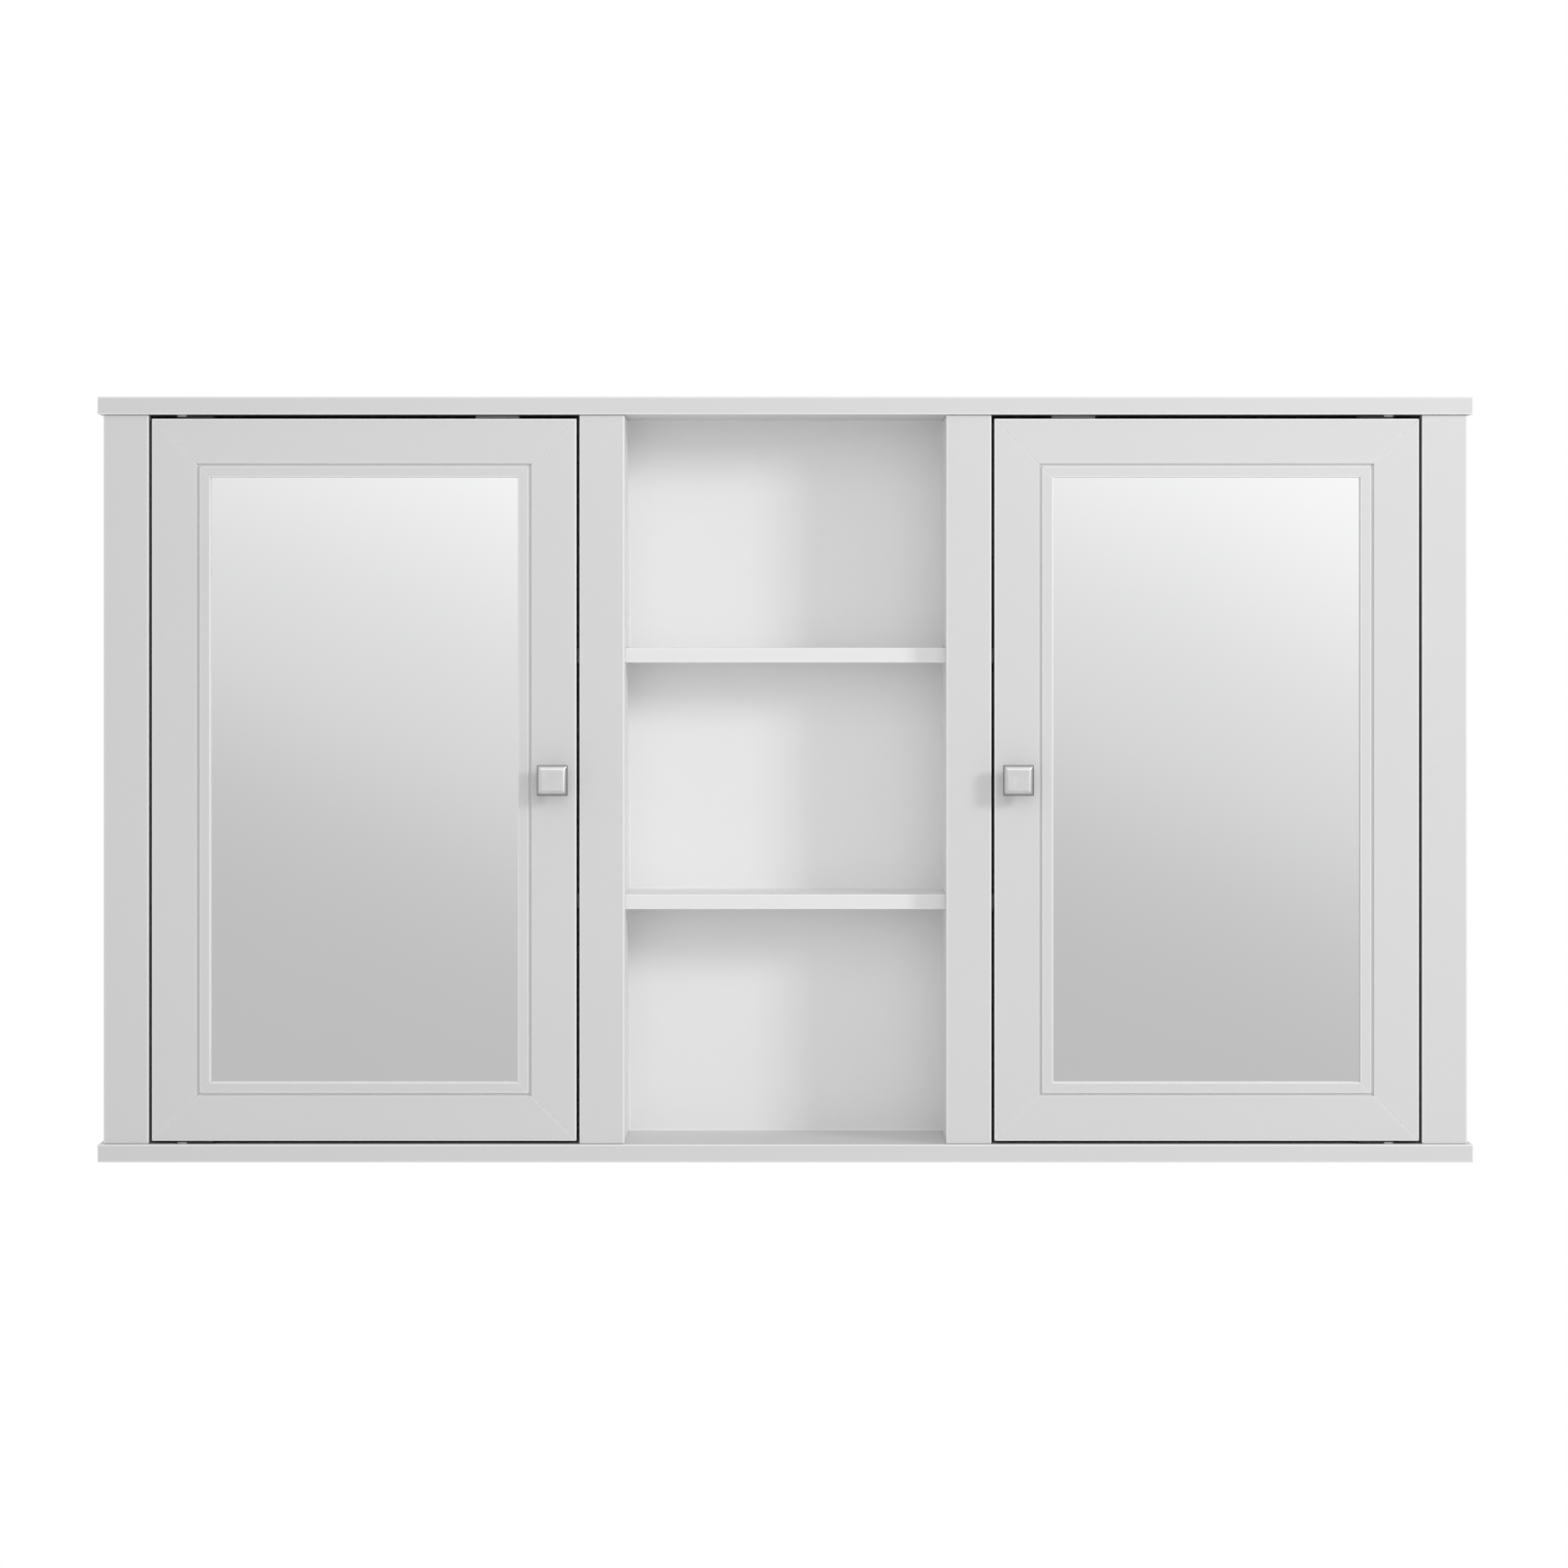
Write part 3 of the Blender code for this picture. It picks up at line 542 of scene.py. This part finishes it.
def add_knob(label):
    """A rounded square carried out from the door, its half width and corner radius changing.

    The foot and neck are rounded squares whose corners all but meet, so circles. The head is
    square, with its edges eased and its face bevelled to a smaller flat.
    """
    node = f"door_{label}_knob"
    low, high = low_high(node)
    centre = (low + high) / 2
    seat = high[1]
    projection = seat - low[1]
    half = (high[0] - low[0]) / 2
    head_back = projection - KNOB_HEAD
    bevel_start = projection - KNOB_BEVEL_DEPTH
    flat = half - KNOB_BEVEL
    stem = [*KNOB_STEM, (KNOB_NECK, head_back)]
    edge = np.concatenate([
        arc((half - KNOB_EDGE, head_back + KNOB_EDGE), KNOB_EDGE, 270, 360, KNOB_EDGE_STEPS),
        (half, bevel_start) + KNOB_EDGE * np.array(KNOB_BEVEL_FOOT),
    ])
    crown = (flat, projection) + KNOB_EDGE * np.array(KNOB_BEVEL_TOP)
    crown = np.concatenate([crown, crown[-1:] - (SHOULDER, 0)])
    rings = [(out, rounded_square(size, size * KNOB_ROUND)) for size, out in stem]
    for size, out in np.concatenate([edge, crown]):
        rings.append((out, rounded_square(size, KNOB_CORNER * size / half)))
    points = np.concatenate([
        np.stack([centre[0] + xz[:, 0], np.full(len(xz), seat - out), centre[2] + xz[:, 1]], 1)
        for out, xz in rings
    ])
    count = len(rings[0][1])
    # Painted shade: the eased edges of the head are marked for a dark outline in the chrome
    painted_outline = np.repeat([0] * len(stem) + [1] * len(edge) + [0] * len(crown), count)
    faces = ring_faces(len(rings), count)
    piece = mesh_object(f"{node}_turned", points, faces, smooth_angle=30, edge_light_and_shade=painted_outline)
    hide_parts(node)
    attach(piece, f"door_{label}")
    piece.data.materials.append(CHROME)


# Screws, clips and brads

def head_grid(radius, height, recess, rings=9, spokes=32):
    """A screw head about its own centre, as (across, up, out) points and faces.

    Height falls from the middle to the rim as height * sqrt(1 - curve * (r / radius)^2). A cross
    of two slots is sunk in it, as deep as recess * (1 - (distance along the slot / its reach)^2).
    """
    r = np.linspace(HEAD_HUB, 1.0, rings)[:, None] * radius
    a = np.linspace(0, math.tau, spokes, endpoint=False)[None, :]
    x, z = r * np.cos(a), r * np.sin(a)
    dome = height * np.sqrt(np.clip(1 - HEAD_CURVE * (r / radius) ** 2, 0, 1)) + 0 * a
    reach, half_slot = SLOT_REACH * radius, SLOT_HALF_WIDTH * radius
    slots = [
        np.where(np.abs(b) < half_slot, np.clip(1 - (c / reach) ** 2, 0, 1), 0)
        for b, c in ((x, z), (z, x))
    ]
    out = dome - recess * np.maximum(*slots)
    rim = np.stack([x[-1], z[-1], np.zeros(spokes)], axis=1)
    front = np.stack([x, z, out], axis=-1)[::-1].reshape(-1, 3)
    return np.concatenate([rim, front]), ring_faces(rings + 1, spokes)


def add_heads(name, body, places, facing, radius, height, finish):
    """One piece holding a cross-slotted head at each place, all facing the same way."""
    head, faces = head_grid(radius, height, SLOT_DEPTH * height)
    facing = np.asarray(facing, float)
    across = UP if abs(facing[2]) < 0.5 else RIGHT
    up = np.cross(facing, across)
    local = head[:, :1] * across + head[:, 1:2] * up + head[:, 2:] * facing
    piece = mesh_object(name, *copies(local, faces, places), smooth_angle=35)
    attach(piece, body)
    piece.data.materials.append(finish)


def add_hinge_screws(label, side):
    """Two countersunk screws in each leaf of each pivot hinge, seen when the door is open.

    The heads of the two leaves face each other across the gap between them.
    """
    pivot_x = pivot_place(label)[0]
    for end, up in (("top", 1), ("bottom", -1)):
        door_leaf = f"door_{label}_hinge_leaf_{end}"
        low, high = low_high(door_leaf)
        face = high[2] if up > 0 else low[2]
        for node, body, height, facing in (
            (f"hinge_pin_leaf_{label}_{end}", "carcass", face + up * LEAF_GAP, -up),
            (door_leaf, f"door_{label}", face, up),
        ):
            seat = height - facing * LEAF_SCREW_SUNK
            places = [
                (pivot_x - side * offset, middle(node)[1], seat) for offset in LEAF_SCREW_OFFSETS
            ]
            add_heads(
                f"{node}_screws", body, places, (0, 0, facing), LEAF_SCREW_RADIUS,
                LEAF_SCREW_HEIGHT, GAP_SHADE_BLACK_STEEL,
            )


def add_catch_screws(label):
    """A pan-head screw up through each ear of the catch, and one in each end of its strike."""
    node = f"catch_housing_{label}"
    low, high = low_high(node)
    underside = high[2] - CATCH_EAR
    ends = (low[0] + CATCH_SCREW_INSET, high[0] - CATCH_SCREW_INSET)
    places = [(x, middle(node)[1], underside) for x in ends]
    add_heads(
        f"catch_{label}_screws", "carcass", places, (0, 0, -1), CATCH_SCREW_RADIUS,
        CATCH_SCREW_HEIGHT, STEEL,
    )
    node = f"door_{label}_strike_plate"
    low, high = low_high(node)
    ends = (low[0] + STRIKE_SCREW_INSET, high[0] - STRIKE_SCREW_INSET)
    places = [(x, high[1], middle(node)[2]) for x in ends]
    add_heads(
        f"strike_{label}_screws", f"door_{label}", places, (0, 1, 0), STRIKE_SCREW_RADIUS,
        STRIKE_SCREW_HEIGHT, STEEL,
    )


def add_hanger_screws(label):
    """The two screws that hold a keyhole plate to the hanging rail, above and below the hole."""
    node = f"keyhole_hanger_{label}"
    low, high = low_high(node)
    ends = (low[2] + PLATE_SCREW_INSET, high[2] - PLATE_SCREW_INSET)
    places = [(middle(node)[0], high[1], z) for z in ends]
    add_heads(
        f"keyhole_hanger_{label}_screws", "carcass", places, (0, 1, 0), PLATE_SCREW_RADIUS,
        PLATE_SCREW_HEIGHT, STEEL,
    )


def clip_places(low, high):
    """Points spaced evenly along each side of the backing board, with the way each clip points."""
    spots = []
    for axis, other in ((0, 2), (2, 0)):
        length = high[axis] - low[axis]
        count = max(2, round(length / CLIP_PITCH))
        runs = low[axis] + length * (np.arange(count) + 0.5) / count
        for edge, inward in ((low[other], 1), (high[other], -1)):
            for run in runs:
                spot = np.zeros(3)
                spot[axis], spot[other] = run, edge
                way = np.zeros(3)
                way[other] = inward
                spots.append((spot, way))
    return spots


def add_clips(label):
    """Bent steel clips screwed behind the door sticks, pressing on the backing board.

    Each clip is a strip whose side outline steps down from the stick's back to the board by half
    a cosine: depth = drop * (1 - cos(pi * t)) / 2 over the bend.
    """
    body = f"door_{label}"
    board_low, board_high = low_high(f"{body}_backing_board")
    stick_back = low_high(f"{body}_top_rail")[1][1]
    board_back = board_high[1]
    drop = stick_back - board_back
    seat = CLIP_LENGTH * CLIP_SEAT_SHARE
    t = np.linspace(0, 1, CLIP_BEND_POINTS)
    run = np.concatenate([[-seat], CLIP_BEND_START + t * CLIP_BEND_RUN, [CLIP_LENGTH - seat]])
    depth = np.concatenate([[0], -drop * (1 - np.cos(math.pi * t)) / 2, [-drop]])
    depth = depth + CLIP_CLEARANCE
    under = np.stack([run, depth], axis=1)
    over = np.stack([run, depth + CLIP_THICKNESS], axis=1)[::-1]
    outline = np.concatenate([under, over])
    points, faces, heads = [], [], []
    for spot, way in clip_places(board_low, board_high):
        edge = spot - way * CLIP_SETBACK
        across = np.cross(way, BACK)
        corner = np.array((edge[0], stick_back, edge[2])) - across * CLIP_WIDTH / 2
        section = corner + outline[:, :1] * way + outline[:, 1:] * BACK
        first = sum(len(p) for p in points)
        points.append(np.concatenate([section, section + across * CLIP_WIDTH]))
        faces += ring_faces(2, len(outline), first)
        on_clip = np.array((edge[0], stick_back + CLIP_CLEARANCE + CLIP_THICKNESS, edge[2]))
        heads.append(on_clip - way * seat * CLIP_SCREW_SHARE)
    piece = mesh_object(f"{body}_mirror_clips", np.concatenate(points), faces, smooth_angle=35)
    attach(piece, body)
    piece.data.materials.append(STEEL)
    soften(piece, CLIP_ARRIS, 2)
    add_heads(
        f"{body}_mirror_clip_screws", body, heads, (0, 1, 0), CLIP_SCREW_RADIUS,
        CLIP_SCREW_HEIGHT, STEEL,
    )


def add_brads():
    """Columns of small nail heads where the back panel is pinned to the sides and partitions."""
    low, high = low_high("back_panel")
    top = low_high("hanging_rail")[0][2]
    bottom = low_high("lower_rail")[1][2]
    count = int((top - bottom) / BRAD_PITCH)
    heights = np.linspace(bottom + BRAD_END_GAP, top - BRAD_END_GAP, count)
    columns = [low[0] + BRAD_INSET, high[0] - BRAD_INSET]
    columns += [middle(f"partition_{label}")[0] for label, _ in SIDES]
    places = [(x, high[1], z) for x in columns for z in heights]
    head, faces = head_grid(BRAD_RADIUS, BRAD_HEIGHT, 0.0, rings=4, spokes=14)
    local = head[:, :1] * RIGHT + head[:, 1:2] * UP + head[:, 2:] * BACK
    piece = mesh_object("back_panel_brads", *copies(local, faces, places))
    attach(piece, "carcass")
    piece.data.materials.append(STEEL)


# Materials

def new_material(name, colour, roughness, metallic=0.0):
    """A material of one colour, with its node tree and its shader."""
    made = bpy.data.materials.new(name)
    made.use_nodes = True
    tree = made.node_tree
    shader = tree.nodes["Principled BSDF"]
    shader.inputs["Base Color"].default_value = (*colour, 1)
    shader.inputs["Roughness"].default_value = roughness
    shader.inputs["Metallic"].default_value = metallic
    return made, tree, shader


def add_node(tree, kind, values=None, **settings):
    """A node with its settings and input values, where a value that is a socket is linked."""
    made = tree.nodes.new(kind)
    for key, value in settings.items():
        setattr(made, key, value)
    for key, value in (values or {}).items():
        if isinstance(value, bpy.types.NodeSocket):
            tree.links.new(value, made.inputs[key])
        else:
            made.inputs[key].default_value = value
    return made


def noise(tree, scale, stretch=(1, 1, 1), detail=3.0, place=(0, 0, 0)):
    """Noise in metres on the piece's own coordinates, drawn out along an axis if asked."""
    coordinates = add_node(tree, "ShaderNodeTexCoord")
    mapping = add_node(tree, "ShaderNodeMapping", {
        "Vector": coordinates.outputs["Object"], "Scale": stretch, "Location": place,
    })
    texture = add_node(tree, "ShaderNodeTexNoise", {
        "Vector": mapping.outputs["Vector"], "Scale": scale, "Detail": detail,
    })
    return texture.outputs["Fac"]


def spread(tree, value, low, high, from_low=0.3, from_high=0.7):
    """Carries a value straight from one range to another, by default from where noise lies."""
    ranged = add_node(tree, "ShaderNodeMapRange", {
        "Value": value, "From Min": from_low, "From Max": from_high, "To Min": low, "To Max": high,
    })
    return ranged.outputs["Result"]


def mixed(tree, factor, first, second):
    """Goes from the first colour to the second as the factor goes from 0 to 1."""
    colours = [
        value if isinstance(value, bpy.types.NodeSocket) else (*value, 1)
        for value in (first, second)
    ]
    made = add_node(
        tree, "ShaderNodeMix", {0: factor, 6: colours[0], 7: colours[1]}, data_type="RGBA"
    )
    return made.outputs[2]


def edge_light_and_shade_amount(tree):
    """The piece's painted edge highlight and shade, read from its points."""
    return add_node(tree, "ShaderNodeAttribute", attribute_name="edge_light_and_shade").outputs["Fac"]


def bump(tree, shader, height, strength, distance, under=None):
    """Tilts the shader's normal as a height would, on top of another bump if there is one."""
    values = {"Height": height, "Strength": strength, "Distance": distance}
    if under:
        values["Normal"] = under
    made = add_node(tree, "ShaderNodeBump", values)
    tree.links.new(made.outputs["Normal"], shader.inputs["Normal"])
    return made.outputs["Normal"]


def satin_paint(name, tone, stretch):
    """White satin paint: a fine orange peel, faint strokes along the board, soft tone changes.

    Along its rounded edges it goes over to a lighter tone, a painted highlight, and to a higher
    gloss.
    """
    made, tree, shader = new_material(name, (tone,) * 3, 0.42)
    peel = noise(tree, 620, detail=2.0)
    strokes = noise(tree, 260, stretch, 3.0)
    clouds = noise(tree, 3.2, detail=4.0, place=(4, 2, 7))
    light = (tone * 1.012,) * 3
    shade = (tone * 0.984,) * 3
    colour = mixed(tree, spread(tree, clouds, 0.0, 1.0), shade, light)
    edge_light_and_shade = edge_light_and_shade_amount(tree)
    # Painted highlight: the rounded edges go over to a lighter tone
    colour = mixed(tree, edge_light_and_shade, colour, (EDGE_HIGHLIGHT_TONE,) * 3)
    tree.links.new(colour, shader.inputs["Base Color"])
    satin = spread(tree, strokes, 0.38, 0.47)
    edge_gloss = add_node(tree, "ShaderNodeMapRange", {"Value": edge_light_and_shade, "To Min": satin, "To Max": 0.25})
    tree.links.new(edge_gloss.outputs["Result"], shader.inputs["Roughness"])
    under = bump(tree, shader, peel, 0.10, 0.0004)
    bump(tree, shader, strokes, 0.06, 0.0003, under)
    return made


def mirror_glass():
    """Silvered glass: nearly perfect, with a trace of haze where it was wiped."""
    made, tree, shader = new_material("mirror_silvering", (0.955, 0.96, 0.958), 0.012, 1.0)
    haze = noise(tree, 9, (1, 1, 0.35), 5.0)
    tree.links.new(spread(tree, haze, 0.008, 0.022, 0.45, 0.8), shader.inputs["Roughness"])
    tint = mixed(tree, spread(tree, haze, 0.0, 1.0), (0.95, 0.957, 0.954), (0.96, 0.963, 0.962))
    tree.links.new(tint, shader.inputs["Base Color"])
    return made


def hardboard():
    """Brown pressed fibres, close and random, darker in flecks."""
    made, tree, shader = new_material("hardboard", (0.30, 0.20, 0.12), 0.78)
    fibres = noise(tree, 420, (1, 1, 0.4), 6.0)
    clouds = noise(tree, 14, detail=4.0)
    colour = mixed(tree, spread(tree, fibres, 0.0, 1.0), (0.21, 0.135, 0.08), (0.36, 0.25, 0.15))
    colour = mixed(tree, spread(tree, clouds, 0.0, 0.35), colour, (0.26, 0.17, 0.10))
    tree.links.new(colour, shader.inputs["Base Color"])
    tree.links.new(spread(tree, fibres, 0.70, 0.86), shader.inputs["Roughness"])
    bump(tree, shader, fibres, 0.35, 0.0004)
    return made


def chrome():
    """Satin chrome plate: faint polishing lines, a little haze, and a painted dark shade on the
    eased edges of the head.
    """
    made, tree, shader = new_material("satin_chrome", (0.88, 0.88, 0.88), 0.2, 1.0)
    lines = noise(tree, 900, (1, 1, 0.06), 3.0)
    haze = noise(tree, 120, detail=4.0)
    colour = mixed(tree, spread(tree, haze, 0.0, 1.0), (0.85, 0.85, 0.85), (0.91, 0.91, 0.91))
    # Painted shade: the eased edges of the head go dark
    colour = mixed(tree, edge_light_and_shade_amount(tree), colour, (0.22, 0.22, 0.22))
    tree.links.new(colour, shader.inputs["Base Color"])
    tree.links.new(spread(tree, lines, 0.16, 0.26), shader.inputs["Roughness"])
    bump(tree, shader, lines, 0.05, 0.0001)
    return made


def zinc_steel():
    """Zinc-plated steel: grey, mottled, slightly dulled."""
    made, tree, shader = new_material("zinc_plated_steel", (0.55, 0.56, 0.58), 0.34, 1.0)
    mottle = noise(tree, 380, detail=5.0)
    colour = mixed(tree, spread(tree, mottle, 0.0, 1.0), (0.46, 0.47, 0.49), (0.63, 0.64, 0.655))
    tree.links.new(colour, shader.inputs["Base Color"])
    tree.links.new(spread(tree, mottle, 0.28, 0.44), shader.inputs["Roughness"])
    bump(tree, shader, mottle, 0.08, 0.0001)
    return made


def gap_shade_black_steel(name, pin_place=None):
    """Steel under near-black lacquer, painted this dark to stand for the shade in the door gaps,
    cloudy and uneven, rubbed bare round a pin if there is one.

    The bare part fades out with the distance abs(abs(x) - pin_place) from the pin of either door.
    """
    # Painted shade: the near-black base stands for the shade the hinge leaves sit in, in the door
    # gaps
    made, tree, shader = new_material(name, (0.03, 0.03, 0.032), 0.55)
    mottle = noise(tree, 240, detail=4.0)
    colour = mixed(tree, spread(tree, mottle, 0.0, 1.0), (0.016, 0.016, 0.017), (0.03, 0.03, 0.032))
    if pin_place:
        place = add_node(tree, "ShaderNodeTexCoord").outputs["Object"]
        across = add_node(tree, "ShaderNodeSeparateXYZ", {"Vector": place}).outputs["X"]
        width = add_node(tree, "ShaderNodeMath", {0: across}, operation="ABSOLUTE").outputs[0]
        away = add_node(
            tree, "ShaderNodeMath", {0: width, 1: pin_place}, operation="SUBTRACT"
        ).outputs[0]
        distance = add_node(tree, "ShaderNodeMath", {0: away}, operation="ABSOLUTE").outputs[0]
        bare = spread(tree, distance, 1.0, 0.0, PIN_RUB - PIN_RUB_FADE, PIN_RUB)
        colour = mixed(tree, bare, colour, (0.66, 0.66, 0.67))
        tree.links.new(bare, shader.inputs["Metallic"])
    tree.links.new(colour, shader.inputs["Base Color"])
    tree.links.new(spread(tree, mottle, 0.48, 0.62), shader.inputs["Roughness"])
    bump(tree, shader, mottle, 0.1, 0.0001)
    return made


def moulded_plastic():
    """White moulded plastic with a fine spark-eroded grain."""
    made, tree, shader = new_material("moulded_plastic", (0.76, 0.76, 0.75), 0.5)
    grain = noise(tree, 1500, detail=2.0)
    clouds = noise(tree, 60, detail=3.0)
    colour = mixed(tree, spread(tree, clouds, 0.0, 1.0), (0.73, 0.73, 0.715), (0.79, 0.79, 0.78))
    tree.links.new(colour, shader.inputs["Base Color"])
    tree.links.new(spread(tree, grain, 0.44, 0.56), shader.inputs["Roughness"])
    bump(tree, shader, grain, 0.15, 0.0002)
    return made


def ferrite():
    """Sintered ferrite magnet: near black, slightly sparkling, rough."""
    made, tree, shader = new_material("ferrite", (0.06, 0.06, 0.065), 0.6, 0.3)
    grain = noise(tree, 1800, detail=4.0)
    colour = mixed(tree, spread(tree, grain, 0.0, 1.0), (0.04, 0.04, 0.045), (0.09, 0.09, 0.095))
    tree.links.new(colour, shader.inputs["Base Color"])
    tree.links.new(spread(tree, grain, 0.5, 0.7), shader.inputs["Roughness"])
    bump(tree, shader, grain, 0.2, 0.0002)
    return made


FRAME_PAINT = satin_paint("frame_paint_along", FRAME_TONE, (0.05, 1, 1))
FRAME_PAINT_UP = satin_paint("frame_paint_upright", FRAME_TONE, (1, 1, 0.05))
SHELF_PAINT = satin_paint("shelf_paint", SHELF_TONE, (0.05, 1, 1))
NICHE_PAINT = satin_paint("niche_paint", NICHE_TONE, (1, 1, 0.05))
MIRROR = mirror_glass()
HARDBOARD = hardboard()
CHROME = chrome()
STEEL = zinc_steel()
GAP_SHADE_BLACK_STEEL = gap_shade_black_steel("black_steel_dark_as_gap_shade")
PIN_LEAF_STEEL = gap_shade_black_steel("gap_shade_black_steel_rubbed_at_pin", abs(pivot_place("left")[0]))
PLASTIC = moulded_plastic()
FERRITE = ferrite()


def finish_kept_nodes():
    """Gives every node the finish of its kind, by the first word here that its name holds."""
    kinds = (
        ("mirror", MIRROR), ("backing_board", HARDBOARD), ("strike_plate", STEEL),
        ("pin_leaf", PIN_LEAF_STEEL), ("leaf", GAP_SHADE_BLACK_STEEL), ("screw", STEEL),
        ("keyhole_hanger", STEEL), ("catch_housing", PLASTIC),
        ("catch_magnet", FERRITE), ("back_panel", NICHE_PAINT), ("partition", NICHE_PAINT),
        ("side_panel", FRAME_PAINT_UP), ("rail", FRAME_PAINT),
    )
    for name, obj in frame["nodes"].items():
        for word, finish in kinds:
            if word in name:
                obj.data.materials.clear()
                obj.data.materials.append(finish)
                break


# Stage, lights and camera

def add_floor():
    """A plain pale disc well below the cabinet, its rim at radius (cos a, sin a)."""
    angles = np.linspace(0, math.tau, FLOOR_POINTS, endpoint=False)
    rim = np.stack([np.cos(angles), np.sin(angles), 0 * angles], axis=1) * FLOOR_RADIUS
    rim[:, 2] = cad_bounds[0][2] - FLOOR_DROP
    mesh = bpy.data.meshes.new("floor")
    mesh.from_pydata(rim.tolist(), [], [list(range(FLOOR_POINTS))])
    floor = bpy.data.objects.new("floor", mesh)
    bpy.context.collection.objects.link(floor)
    made, tree, shader = new_material("pale_floor", (0.9, 0.9, 0.9), 0.7)
    clouds = noise(tree, 1.1, detail=3.0)
    colour = mixed(tree, spread(tree, clouds, 0.0, 1.0), (0.89, 0.89, 0.89), (0.91, 0.91, 0.91))
    tree.links.new(colour, shader.inputs["Base Color"])
    mesh.materials.append(made)


def ramp(tree, value, stops):
    """A smooth curve through (value, grey) stops."""
    made = tree.nodes.new("ShaderNodeValToRGB")
    made.color_ramp.interpolation = "B_SPLINE"
    points = made.color_ramp.elements
    while len(points) < len(stops):
        points.new(0.5)
    for point, (place, grey) in zip(points, stops):
        point.position = place
        point.color = (grey, grey, grey, 1)
    tree.links.new(value, made.inputs["Fac"])
    return made.outputs["Color"]


def add_surroundings():
    """The studio round the cabinet, as a function of a direction (x, y, z) of length 1.

    To the camera it is a white backdrop. To matt surfaces it is even, and brighter in front by a
    lobe of (-y) to a power. To shiny ones its grey follows the rise z / |y|, so that a mirror
    seen from the front changes softly from its lower edge to its upper one, and well off to the
    side it goes over to a grey that brightens with z, which the knobs' bevels pick up.
    """
    world = bpy.data.worlds.new("studio")
    bpy.context.scene.world = world
    world.use_nodes = True
    tree = world.node_tree
    tree.nodes.clear()

    def maths(operation, *values):
        """One arithmetic step on numbers or sockets."""
        return add_node(
            tree, "ShaderNodeMath", dict(enumerate(values)), operation=operation
        ).outputs[0]

    direction = add_node(tree, "ShaderNodeTexCoord").outputs["Generated"]
    split = add_node(tree, "ShaderNodeSeparateXYZ", {"Vector": direction})
    x, y, z = (split.outputs[axis] for axis in "XYZ")
    run = maths("MAXIMUM", maths("ABSOLUTE", y), SKY_LEAST_RUN)
    rise = maths("DIVIDE", z, run)
    across = maths("DIVIDE", x, run)
    step = spread(tree, across, 0.0, -SKY_STEP, -SKY_STEP_REACH, SKY_STEP_REACH)
    lean = maths("ADD", maths("MULTIPLY_ADD", across, SKY_LEAN, rise), step)
    near = ramp(tree, spread(tree, lean, 0.0, 1.0, SKY_LOW, SKY_HIGH), SKY_STOPS)
    side = maths("MULTIPLY_ADD", z, SIDE_SLOPE[1], SIDE_GREY)
    side = maths("MULTIPLY_ADD", x, SIDE_SLOPE[0], side)
    aside = spread(tree, run, 1.0, 0.0, *SIDE_TURN)
    shiny = mixed(tree, aside, near, add_node(
        tree, "ShaderNodeCombineColor", {"Red": side, "Green": side, "Blue": side}
    ).outputs[0])
    lobe = maths("POWER", maths("MAXIMUM", maths("MULTIPLY", y, -1.0), 0.0), FRONT_POWER)
    matt = maths("MULTIPLY_ADD", lobe, FRONT_LIGHT, EVEN_LIGHT)

    path = add_node(tree, "ShaderNodeLightPath").outputs
    white = add_node(tree, "ShaderNodeBackground", {"Color": (1, 1, 1, 1)}).outputs[0]
    for_shiny = add_node(tree, "ShaderNodeBackground", {"Color": shiny}).outputs[0]
    for_matt = add_node(
        tree, "ShaderNodeBackground", {"Color": (1, 1, 1, 1), "Strength": matt}
    ).outputs[0]
    studio = add_node(tree, "ShaderNodeMixShader", {
        0: path["Is Glossy Ray"], 1: for_matt, 2: for_shiny,
    }).outputs[0]
    seen = add_node(tree, "ShaderNodeMixShader", {
        0: path["Is Camera Ray"], 1: studio, 2: white,
    }).outputs[0]
    output = add_node(tree, "ShaderNodeOutputWorld")
    tree.links.new(seen, output.inputs["Surface"])


def add_light(name, place, target, size, power, in_mirrors=True):
    """A square soft box at a place, turned to face a target."""
    data = bpy.data.lights.new(name, "AREA")
    data.shape = "SQUARE"
    data.size = size
    data.energy = power
    light = bpy.data.objects.new(name, data)
    bpy.context.collection.objects.link(light)
    light.visible_glossy = in_mirrors
    light.visible_camera = False
    light.location = place
    way = Vector(target) - light.location
    light.rotation_euler = way.to_track_quat("-Z", "Y").to_euler()


def add_lights():
    """A key light to the right of the front, and a wide fill in front that mirrors don't show."""
    low, high = (np.array(corner) for corner in cad_bounds)
    centre = (low + high) / 2
    front = np.array((centre[0], low[1], centre[2]))
    way = np.array(KEY_WAY) / np.linalg.norm(KEY_WAY)
    add_light("key", front + way * KEY_DISTANCE, front, KEY_SIZE, KEY_POWER)
    add_light("fill", centre + np.array(FILL_PLACE), centre, FILL_SIZE, FILL_POWER, False)


def add_camera():
    """Straight on, a little above the middle, with the view shifted down to hold the cabinet."""
    low, high = low_high("top_board")
    data = bpy.data.cameras.new("camera")
    data.sensor_width = SENSOR_WIDTH
    data.lens = SENSOR_WIDTH * CAMERA_DISTANCE / FRAME_SPAN
    data.shift_x, data.shift_y = CAMERA_SHIFT
    camera = bpy.data.objects.new("camera", data)
    bpy.context.collection.objects.link(camera)
    camera.location = (0, low[1] - CAMERA_DISTANCE, high[2] - CAMERA_BELOW_TOP)
    camera.rotation_euler = (math.radians(90), 0, 0)
    bpy.context.scene.camera = camera


def main():
    """Dresses the frame and adds the pieces, the stage, the lights and the camera."""
    finish_kept_nodes()
    add_planks()
    add_corner_paint()
    add_brads()
    for label, side in SIDES:
        add_sticks(label, side)
        add_knob(label)
        add_hinge_screws(label, side)
        add_catch_screws(label)
        add_hanger_screws(label)
        add_clips(label)
    add_floor()
    add_surroundings()
    add_lights()
    add_camera()
    bpy.context.scene.view_settings.view_transform = "Standard"


main()
